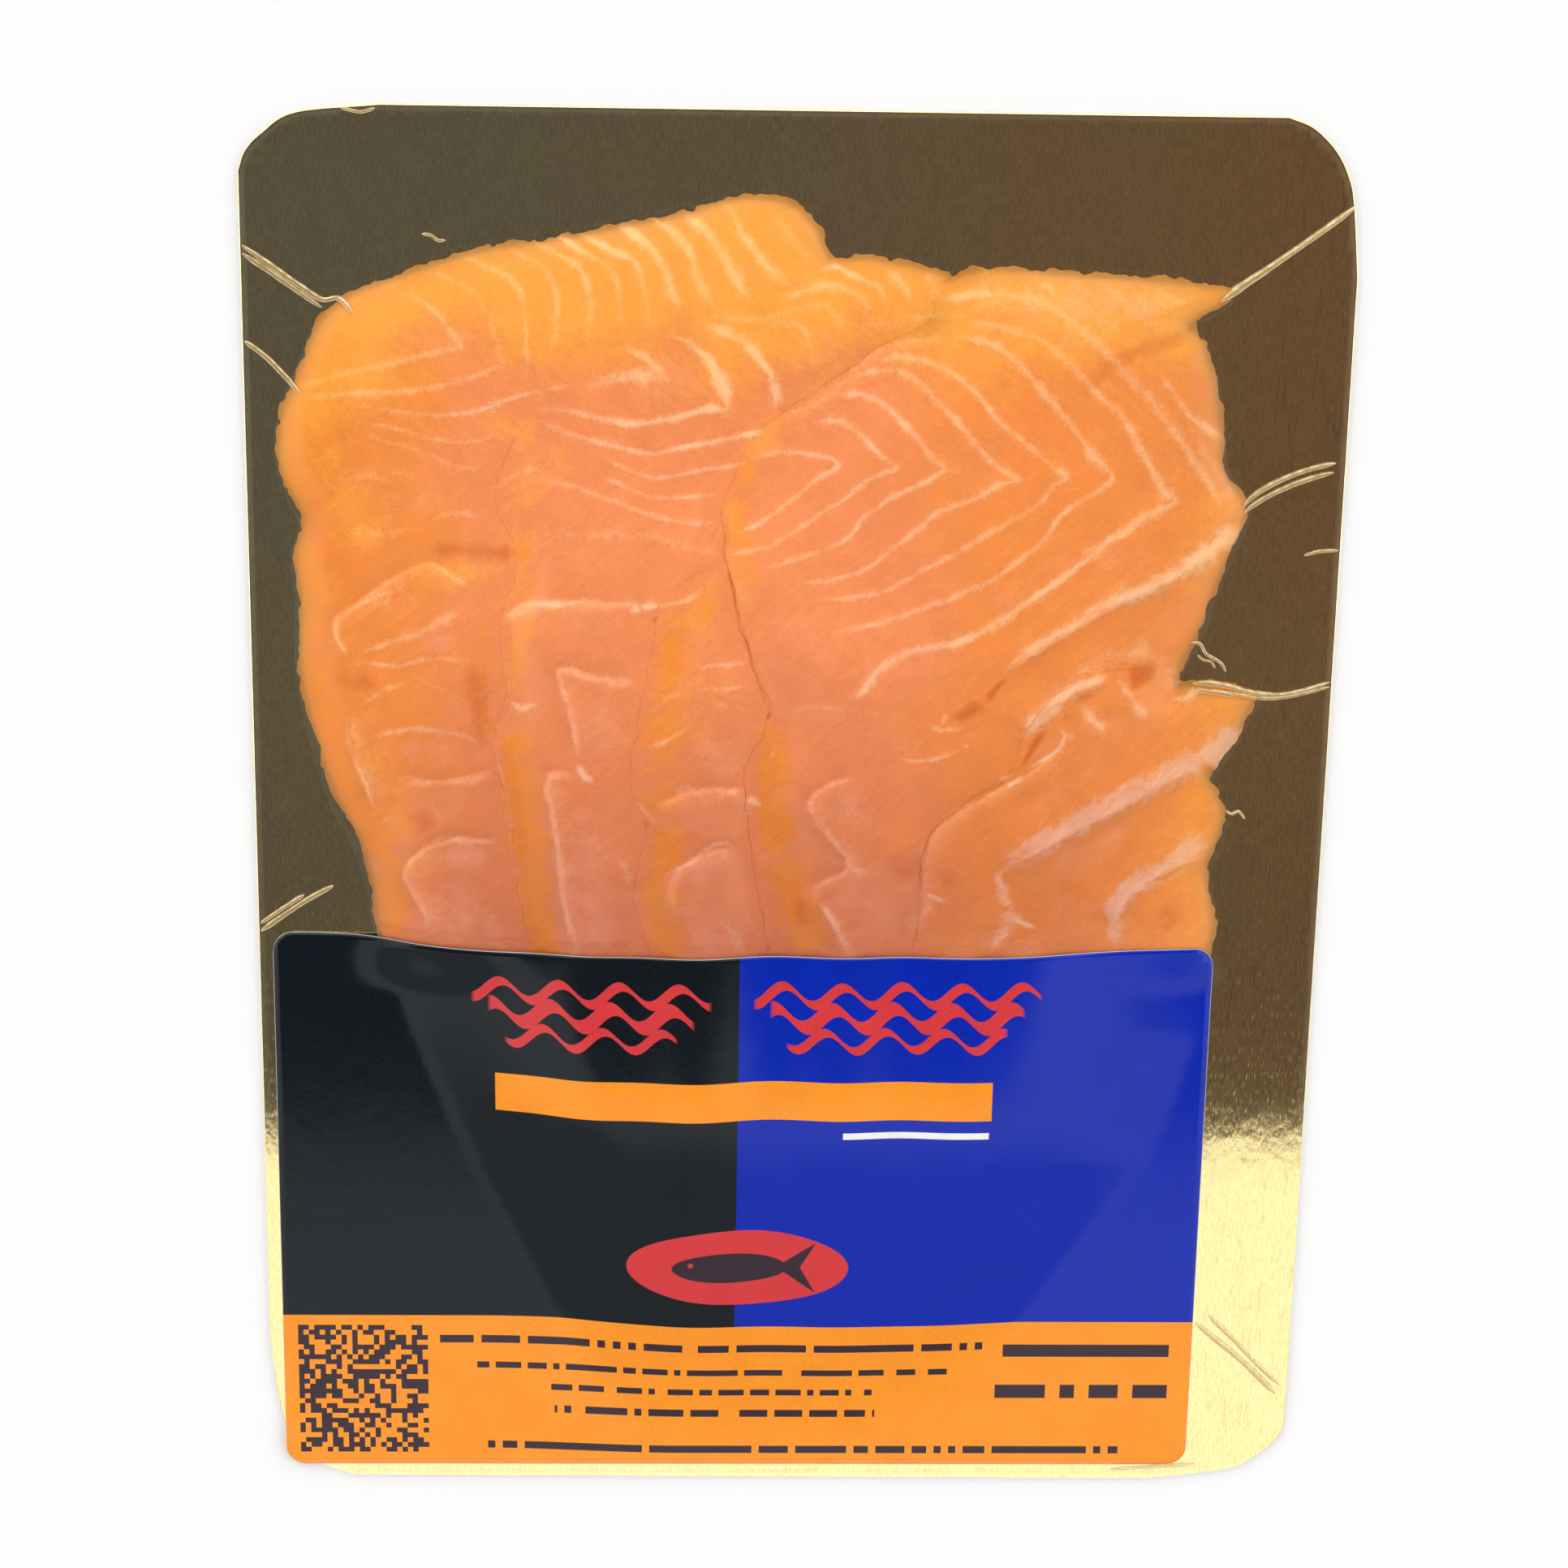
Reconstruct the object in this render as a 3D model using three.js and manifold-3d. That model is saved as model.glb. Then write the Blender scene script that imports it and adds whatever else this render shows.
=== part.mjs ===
// A skin pack of sliced smoked salmon, lying flat with its face up: a foil card, five overlapping
// slices, the clear film that clings to them and to the card, and the printed label on the film.
// Millimetres. +X is to the right of the pack, +Y towards its top edge, +Z up out of its face.
// The origin is under the middle of the card, on the surface the pack lies on.

import * as THREE from 'three';
import { mergeVertices } from 'three/addons/utils/BufferGeometryUtils.js';
import loadManifold from 'manifold-3d';

const wasm = await loadManifold();
wasm.setup();

// ---- Driving dimensions ----

const CARD = { width: 152.4, length: 203.2, thickness: 0.8 };
const LABEL = { left: -74.2, right: 61.4, top: -15.3, bottom: -99.3, corner: 3, thickness: 0.2 };
const FILM = { thickness: 0.2, inset: 0.3 };

// Each slice is feathered: CUT is the thickness left at its very edge.
const CUT = 0.6;
// Free space between two slices, and under and over the film.
const SLICE_GAP = 0.3;
const SKIN_GAP = 0.2;
// How far past a slice's edge whatever lies on it still stands off, before it sinks to what is below.
const BRIDGE = { flat: 8.5, fall: 5 };

// One lattice under every soft piece, so that pieces draped on each other keep their order.
const CELLS = { x: 26, y: 34 };
const OUTLINE_STEP = 4.5;

// The card is hand trimmed, so its four corners differ. Each list runs clockwise round one corner.
const CARD_CORNERS = {
  topLeft: [[-76.2, 92.5], [-75.2, 95.2], [-72.9, 97.6], [-68.3, 100.4], [-57, 101.6]],
  topRight: [[65.5, 101.6], [69, 100.2], [72.2, 97.2], [74.1, 93.8], [75.1, 90], [76.2, 80]],
  bottomRight: [[76.2, -92.6], [75.2, -95], [72, -98], [67.8, -100], [56, -101.6]],
  bottomLeft: [[-64, -101.6], [-68.5, -99.9], [-72, -96.8], [-74.6, -92], [-76.2, -80]],
};

// The slices from the lowest to the highest. thick is a slice's body and taper the width over which
// it thins towards its edge. Each outline is a closed smooth curve through its points.
const SLICES = [
  {
    name: 'slice_1_left',
    thick: { top: 2.6, bottom: 4.3 },
    taper: 9,
    outline: [
      [-62.3, 76], [-53, 79.7], [-44, 82.6], [-32, 84.7], [-18, 87.6], [-8, 90.3], [-1.5, 89.4], [2.2, 86.2],
      [3.9, 82.3], [8, 82.4], [15, 81.5], [21, 77], [19, 66], [10, 50], [5, 25], [4, -10], [1, -45], [-7, -78],
      [-20, -84], [-32, -74], [-44, -51], [-52, -32], [-58, -15.5], [-59.6, -8], [-61.6, -1], [-66.4, 11.5],
      [-69, 23], [-69, 34], [-69.8, 40], [-68.3, 44.6], [-71.2, 52], [-71.4, 59], [-68.6, 66.5], [-66, 72.4],
    ],
  },
  {
    name: 'slice_2_inner_left',
    thick: { top: 1.7, bottom: 2 },
    taper: 7,
    outline: [
      [-37, 59], [-26, 58.6], [-12, 60], [2, 58], [14, 45], [20, 20], [20, -20], [12, -60], [0, -82],
      [-16, -78], [-28, -52], [-36, -20], [-38.8, -8], [-40.2, 4], [-42, 14.5], [-40.3, 21.5], [-41.2, 31],
      [-38.6, 40], [-41.8, 49],
    ],
  },
  {
    name: 'slice_3_middle',
    thick: { top: 1.7, bottom: 1.9 },
    taper: 7,
    outline: [
      [-14, 38.5], [0, 42], [22, 36], [36, 18], [40, -15], [34, -48], [18, -70], [2, -76], [-10, -62],
      [-17, -38], [-20.4, -16], [-22.6, -7], [-20.6, 2.6], [-22.9, 9], [-22, 18], [-20.4, 27], [-19, 34.5],
    ],
  },
  {
    name: 'slice_4_right',
    thick: { top: 2.4, bottom: 3 },
    taper: 8,
    outline: [
      [22, 79.9], [28, 81.1], [38, 80.4], [47, 79.9], [57.8, 77.8], [53.4, 73.2], [56.4, 69], [58.4, 60],
      [61.2, 50.5], [63, 48.4], [59.4, 40], [56.8, 29.6], [54.2, 26.4], [54.2, 12], [52, -12], [46, -42],
      [32, -62], [14, -66], [4, -50], [-1, -28], [-4.4, -10], [-6.3, 2], [-6.8, 11], [-3.6, 19], [-6.3, 27],
      [-9.6, 39.5], [-10, 49], [-5, 58.8], [4, 65], [12, 70.8], [18.5, 73.5], [19.5, 77],
    ],
  },
  {
    name: 'slice_5_lower_right',
    thick: { top: 1.2, bottom: 1.4 },
    taper: 6,
    outline: [
      [44, 24.6], [50, 20.6], [56, 22.9], [61, 23], [66.6, 21.8], [63, 16], [58.6, 9.9], [61.4, 4.6],
      [59.9, -4.5], [60.8, -14], [60, -30], [53, -50], [42, -64], [28, -62], [20, -42], [17.4, -18],
      [18.6, -8], [18.6, 0], [22.4, 4.4], [30.5, 10.5], [33, 17], [38, 22.6],
    ],
  },
];

// ---- Materials ----

function finish(color, roughness, metalness) {
  return new THREE.MeshStandardMaterial({ color, roughness, metalness });
}

const FOIL = finish(0xd8b566, 0.3, 0.8);
const SALMON = finish(0xee8450, 0.45, 0);
const CLEAR = finish(0xf4f2ec, 0.1, 0);
CLEAR.transparent = true;
CLEAR.opacity = 0.25;
const PRINT = finish(0x1c2fa8, 0.25, 0);

// ---- Outlines ----

function cardOutline(inset) {
  const { topLeft, topRight, bottomRight, bottomLeft } = CARD_CORNERS;
  const shrink = (half) => (half - inset) / half;
  const place = ([x, y]) => new THREE.Vector2(x * shrink(CARD.width / 2), y * shrink(CARD.length / 2));
  const shape = new THREE.Shape();
  for (const corner of [topLeft, topRight, bottomRight, bottomLeft]) {
    const points = corner.map(place);
    if (corner === topLeft) {
      shape.moveTo(points[0].x, points[0].y);
    } else {
      shape.lineTo(points[0].x, points[0].y);
    }
    shape.splineThru(points.slice(1));
  }
  shape.closePath();
  return shape;
}

function labelOutline() {
  const { left, right, top, bottom, corner } = LABEL;
  const shape = new THREE.Shape();
  shape.absarc(right - corner, top - corner, corner, Math.PI / 2, 0, true);
  shape.absarc(right - corner, bottom + corner, corner, 0, -Math.PI / 2, true);
  shape.absarc(left + corner, bottom + corner, corner, -Math.PI / 2, -Math.PI, true);
  shape.absarc(left + corner, top - corner, corner, Math.PI, Math.PI / 2, true);
  shape.closePath();
  return shape;
}

function sliceOutline(points) {
  const curve = new THREE.CatmullRomCurve3(
    points.map(([x, y]) => new THREE.Vector3(x, y, 0)),
    true,
    'centripetal',
  );
  const count = Math.round(curve.getLength() / OUTLINE_STEP);
  return curve.getSpacedPoints(count).slice(0, count).map((p) => new THREE.Vector2(p.x, p.y));
}

// Distance from (x, y) to a closed outline: positive inside it, negative outside.
function depthInside(outline, x, y) {
  let nearest = Infinity;
  let inside = false;
  outline.forEach((a, i) => {
    const b = outline[(i + 1) % outline.length];
    const edge = b.clone().sub(a);
    const share = ((x - a.x) * edge.x + (y - a.y) * edge.y) / edge.lengthSq();
    const along = THREE.MathUtils.clamp(share, 0, 1);
    nearest = Math.min(nearest, Math.hypot(a.x + along * edge.x - x, a.y + along * edge.y - y));
    if (a.y > y !== b.y > y && x < a.x + ((y - a.y) / edge.y) * edge.x) {
      inside = !inside;
    }
  });
  return inside ? nearest : -nearest;
}

// ---- The lattice of heights ----

const columns = CELLS.x + 1;
const rows = CELLS.y + 1;
const nodes = Array.from({ length: columns * rows }, (_, n) => ({
  x: ((n % columns) / CELLS.x - 0.5) * CARD.width,
  y: (Math.floor(n / columns) / CELLS.y - 0.5) * CARD.length,
}));

function ease(value, from, to) {
  return THREE.MathUtils.smoothstep(value, from, to);
}

// What a slice adds to the pile at a lattice node: its own thickness, and the room it takes up,
// which reaches a little past its edge because whatever lies on it bridges the step.
function layerAt(slice, { x, y }) {
  const depth = depthInside(slice.edge, x, y);
  const body = THREE.MathUtils.lerp(slice.thick.bottom, slice.thick.top, ease(y, 10, 65));
  const thickness = CUT + (body - CUT) * ease(depth, 0, slice.taper);
  const sunk = ease(-depth, BRIDGE.flat, BRIDGE.flat + BRIDGE.fall);
  return { thickness, room: (thickness + SLICE_GAP) * (1 - sunk) };
}

// A closed body between two height fields over the whole lattice.
function blanket(bottom, top) {
  const position = [];
  for (const heights of [bottom, top]) {
    nodes.forEach(({ x, y }, n) => position.push(x, y, heights[n]));
  }
  const index = [];
  const upper = nodes.length;
  const quad = (a, b, c, d) => index.push(a, b, c, a, c, d);
  for (let j = 0; j < CELLS.y; j += 1) {
    for (let i = 0; i < CELLS.x; i += 1) {
      const n = j * columns + i;
      index.push(n, n + columns + 1, n + 1, n, n + columns, n + columns + 1);
      quad(upper + n, upper + n + 1, upper + n + columns + 1, upper + n + columns);
    }
  }
  const wall = (a, b) => quad(a, b, b + upper, a + upper);
  for (let i = 0; i < CELLS.x; i += 1) {
    wall(i, i + 1);
    wall((rows - 1) * columns + i + 1, (rows - 1) * columns + i);
  }
  for (let j = 0; j < CELLS.y; j += 1) {
    wall((j + 1) * columns, j * columns);
    wall(j * columns + CELLS.x, (j + 1) * columns + CELLS.x);
  }
  const geometry = new THREE.BufferGeometry();
  geometry.setAttribute('position', new THREE.Float32BufferAttribute(position, 3));
  geometry.setIndex(index);
  return geometry;
}

// ---- Cutting with manifold-3d ----

function toSolid(geometry) {
  const bare = geometry.clone();
  bare.deleteAttribute('normal');
  bare.deleteAttribute('uv');
  const merged = mergeVertices(bare);
  return new wasm.Manifold(
    new wasm.Mesh({
      numProp: 3,
      vertProperties: new Float32Array(merged.attributes.position.array),
      triVerts: new Uint32Array(merged.index.array),
    }),
  );
}

function toGeometry(solid) {
  const mesh = solid.getMesh();
  const geometry = new THREE.BufferGeometry();
  geometry.setAttribute('position', new THREE.Float32BufferAttribute(mesh.vertProperties, 3));
  geometry.setIndex(new THREE.BufferAttribute(mesh.triVerts, 1));
  geometry.computeVertexNormals();
  return geometry;
}

// The part of a blanket that lies inside an outline, as a cookie cutter leaves it.
function cutOut(bottom, top, shape) {
  const tall = 60;
  const cutter = new THREE.ExtrudeGeometry(shape, { depth: tall, bevelEnabled: false, curveSegments: 6 });
  cutter.translate(0, 0, -tall / 2);
  return toGeometry(toSolid(blanket(bottom, top)).intersect(toSolid(cutter)));
}

// ---- The pieces ----

const pack = new THREE.Group();

function addPiece(name, geometry, material) {
  const mesh = new THREE.Mesh(geometry, material);
  mesh.name = name;
  pack.add(mesh);
}

function raised(heights, by) {
  return heights.map((z) => z + by);
}

const card = new THREE.ExtrudeGeometry(cardOutline(0), {
  depth: CARD.thickness,
  bevelEnabled: false,
  curveSegments: 3,
});
addPiece('card', card, FOIL);

// The height of the pile so far at each node, which the next piece lies on.
let pile = nodes.map(() => CARD.thickness + SKIN_GAP);

for (const slice of SLICES) {
  slice.edge = sliceOutline(slice.outline);
  const layers = nodes.map((node) => layerAt(slice, node));
  const top = pile.map((z, n) => z + layers[n].thickness);
  addPiece(slice.name, cutOut(pile, top, new THREE.Shape(slice.edge)), SALMON);
  pile = pile.map((z, n) => z + layers[n].room);
}

const filmTop = raised(pile, FILM.thickness);
addPiece('film', cutOut(pile, filmTop, cardOutline(FILM.inset)), CLEAR);

const labelBottom = raised(filmTop, SKIN_GAP);
addPiece('label', cutOut(labelBottom, raised(labelBottom, LABEL.thickness), labelOutline()), PRINT);

export default pack;
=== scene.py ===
"""Looks of a flat skin pack of sliced smoked salmon: a gold foil card, five overlapping slices, the
clear film that clings to them, its pleats, and the printed label. Sizes in the lists are millimetres
in the pack's own frame: +X to the right of its face, +Y towards its top edge, +Z up out of its face."""

import math
from contextlib import contextmanager
from functools import cache

import bpy
import numpy as np
from bpy.props import FloatProperty, FloatVectorProperty, IntProperty, PointerProperty
from bpy.types import Operator, Panel, PropertyGroup
from mathutils import Euler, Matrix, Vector


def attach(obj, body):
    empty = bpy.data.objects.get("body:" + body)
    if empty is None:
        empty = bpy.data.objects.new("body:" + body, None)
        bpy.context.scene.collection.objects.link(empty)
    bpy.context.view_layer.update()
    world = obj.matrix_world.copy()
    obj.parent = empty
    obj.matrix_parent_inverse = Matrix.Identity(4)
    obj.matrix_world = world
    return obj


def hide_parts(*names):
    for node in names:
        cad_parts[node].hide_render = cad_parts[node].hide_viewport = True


bl_info = {
    "name": "Salmon Skin Pack",
    "version": (1, 0, 0),
    "blender": (4, 5, 0),
    "location": "View3D > Sidebar > Salmon Pack",
    "description": "Builds a skin pack of smoked salmon slices on a foil card",
    "category": "Add Mesh",
}

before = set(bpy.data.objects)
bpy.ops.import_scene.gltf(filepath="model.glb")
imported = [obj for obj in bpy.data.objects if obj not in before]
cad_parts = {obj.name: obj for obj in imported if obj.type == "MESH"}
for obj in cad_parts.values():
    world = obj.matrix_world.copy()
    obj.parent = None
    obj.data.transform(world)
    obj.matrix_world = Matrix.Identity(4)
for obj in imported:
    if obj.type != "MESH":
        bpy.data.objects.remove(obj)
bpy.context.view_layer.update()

MM = 0.001

# ---- The pack's shapes ----

CARD_SIZE = (152.4, 203.2)
CARD_THICK = 0.8
CARD_CORNERS = (
    ((-76.2, 92.5), (-75.2, 95.2), (-72.9, 97.6), (-68.3, 100.4), (-57, 101.6)),
    ((65.5, 101.6), (69, 100.2), (72.2, 97.2), (74.1, 93.8), (75.1, 90), (76.2, 80)),
    ((76.2, -92.9), (75.2, -95.4), (72, -98.4), (67.8, -100.5), (56, -102.1)),
    ((-64, -101.6), (-68.5, -99.9), (-72, -96.8), (-74.6, -92), (-76.2, -80)),
)
LABEL = {"left": -74.2, "right": 61.4, "top": -15.3, "bottom": -99.6, "corner": 3.0}
# The label's top edge is drawn in by this much where the slices lift it: (depth, x of none, x of all).
LABEL_DIP = (1.45, -70.0, -38.0)

# The slices from the lowest to the highest: thickness at the top and bottom end, the width over
# which the edge thins, the y over which the top end fades out, the stretches of the outline that
# are pressed thin (first and last point, and the width over which they thin out), and the outline.
SLICES = {
    "slice_1_left": {
        "thick": (2.6, 4.3), "taper": 4.6, "fade": None, "pressed": ((12, 20, 24),),
        "outline": (
            (-62.3, 76), (-53, 79.7), (-44, 82.6), (-32, 84.7), (-18, 87.6), (-8, 90.3), (-1.5, 89.4),
            (2.2, 86.2), (3.9, 82.3), (8, 82.4), (15.5, 81.3), (21, 79.2), (19, 66), (10, 50), (5, 25),
            (4, -10), (1, -45), (-7, -78), (-20, -84), (-32, -74), (-44, -51), (-52, -32), (-59.2, -15.5),
            (-60, -8), (-61.6, -1.6), (-65, 5), (-67, 11.5), (-69.5, 23), (-69.4, 34), (-70, 40),
            (-68.7, 44.6), (-71.7, 51.5), (-71.6, 59), (-68.6, 66.5), (-66, 72.4),
        ),
    },
    "slice_2_inner_left": {
        "thick": (1.5, 1.9), "taper": 3.6, "fade": (62, 36),
        "pressed": ((5, 13, 22), (0, 6, 12), (14, 21, 7)),
        "outline": (
            (-37.6, 58.6), (-33, 59), (-28, 57.4), (-21, 55.8), (-14, 57), (-5, 59.4), (2, 58), (14, 45),
            (20, 20), (20, -20), (12, -60), (0, -82), (-16, -78), (-28, -52), (-36, -20), (-38.8, -8),
            (-40.2, 4), (-42, 14.5), (-40.3, 21.5), (-41.2, 31), (-38.6, 40), (-41.8, 49),
        ),
    },
    "slice_3_middle": {
        "thick": (1.5, 1.8), "taper": 3.4, "fade": (44, 26), "pressed": ((0, 8, 22), (9, 16, 7)),
        "outline": (
            (-14, 38.5), (0, 42), (22, 36), (36, 18), (40, -15), (34, -48), (18, -70), (2, -76),
            (-10, -62), (-17, -38), (-20.4, -16), (-22.6, -7), (-20.6, 2.6), (-22.9, 9), (-22, 18),
            (-20.4, 27), (-19, 34.5),
        ),
    },
    "slice_4_right": {
        "thick": (2.4, 3.0), "taper": 4.2, "fade": None,
        "pressed": ((22, 27, 20), (28, 32, 10), (35, 40, 13)),
        "outline": (
            (21, 80), (26, 81), (38, 80.4), (47, 79.9), (55, 79.2), (60.2, 78.2), (56.9, 75.4),
            (53.6, 73.1), (55.4, 71.9), (56.4, 68.9), (57.5, 66), (58.4, 60.7), (59, 57), (59.3, 54),
            (60.6, 51.4), (63, 48.6), (61.6, 43), (59.8, 38.8), (58.5, 34.7), (57.7, 31.6), (56.2, 28.2),
            (54.9, 25.5), (54, 12), (52, -12), (46, -42), (32, -62), (14, -66), (4, -50), (-1, -28),
            (-4.4, -10), (-6.3, 2), (-6.8, 11), (-3.6, 19), (-6.3, 27), (-9.6, 39.5), (-10, 49),
            (-5, 58.8), (4, 65), (12, 70.8), (18, 74), (18.6, 78),
        ),
    },
    "slice_5_lower_right": {
        "thick": (1.2, 1.4), "taper": 2.6, "fade": None, "pressed": ((21, 24, 18), (24, 30, 8), (0, 3, 6)),
        "outline": (
            (44, 24.8), (50, 24.9), (54.3, 22.7), (56.3, 22.8), (58.8, 23.2), (62.8, 22.5), (66.3, 21.1),
            (65.1, 19.4), (64.1, 17.4), (62.9, 14.6), (61.2, 12.1), (60.6, 10.3), (59.3, 9.3),
            (60.2, 7.7), (62, 3.7), (61, -1.4), (60, -3.8), (60.3, -7.1), (61.5, -13.5), (60.6, -20),
            (60, -30), (53, -50), (42, -64), (28, -62), (20, -42), (17.4, -18), (18.6, -8), (18.6, 0),
            (22.4, 4.4), (30.5, 10.5), (33, 17), (38, 22.6),
        ),
    },
}

CLEARANCE = 0.05
# The share of its thickness that a slice keeps where it fades out or is pressed thin.
THINNEST = 0.12
# The share by which the slices are thinner under the label.
UNDER_LABEL_THINNER = 0.12
# The depth inside a slice's edge over which its face begins to swell.
SWELL_FROM = (0.4, 3.0)
# The film ends this far inside the card's edge.
FILM_INSET = 0.3
FILM_THICK = 0.06
LABEL_THICK = 0.14
# How hard each skin is pressed down between the things that hold it up: one over millimetres.
SAG = {"slice": 0.16, "film": 1.1}
DRAPE_ROUNDS = 260
# From where to where the film is drawn level at the label's edge, less than 0 being outside it.
LABEL_HOLD = (-4.0, 0.6)
# The run over which the label rises from the card to its full height.
LABEL_RISE = 24
# Where the label leaves the card at its sides: (y, x) from the lowest to the highest.
LABEL_FALL = {
    "left": ((-99, -26), (-74, -34), (-51, -45), (-32, -53), (-15, -60)),
    "right": ((-99, 20), (-64, 43), (-50, 53), (-30, 60), (-15, 61)),
}

# ---- What is drawn on the flesh ----

# Every stroke is (half width; strength; points). A pair gives the values at the two ends. They are
# drawn on a level sheet 5 mm above the card's face and dropped on the slices along the lines that
# meet at SIGHT, so that a stroke keeps its shape where the slices rise and fall.
SIGHT = (-17.31, 140.87, 459.45)
DRAWN_AT = CARD_THICK + 5.0
# The camera stands at SIGHT: its turn in degrees about X, Y and Z, its lens and the width of its
# sensor, both in millimetres.
CAMERA_TURN = (-16.2401, -1.9263, 0.4516)
CAMERA_LENS = 77.18
CAMERA_SENSOR = 36.0

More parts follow.
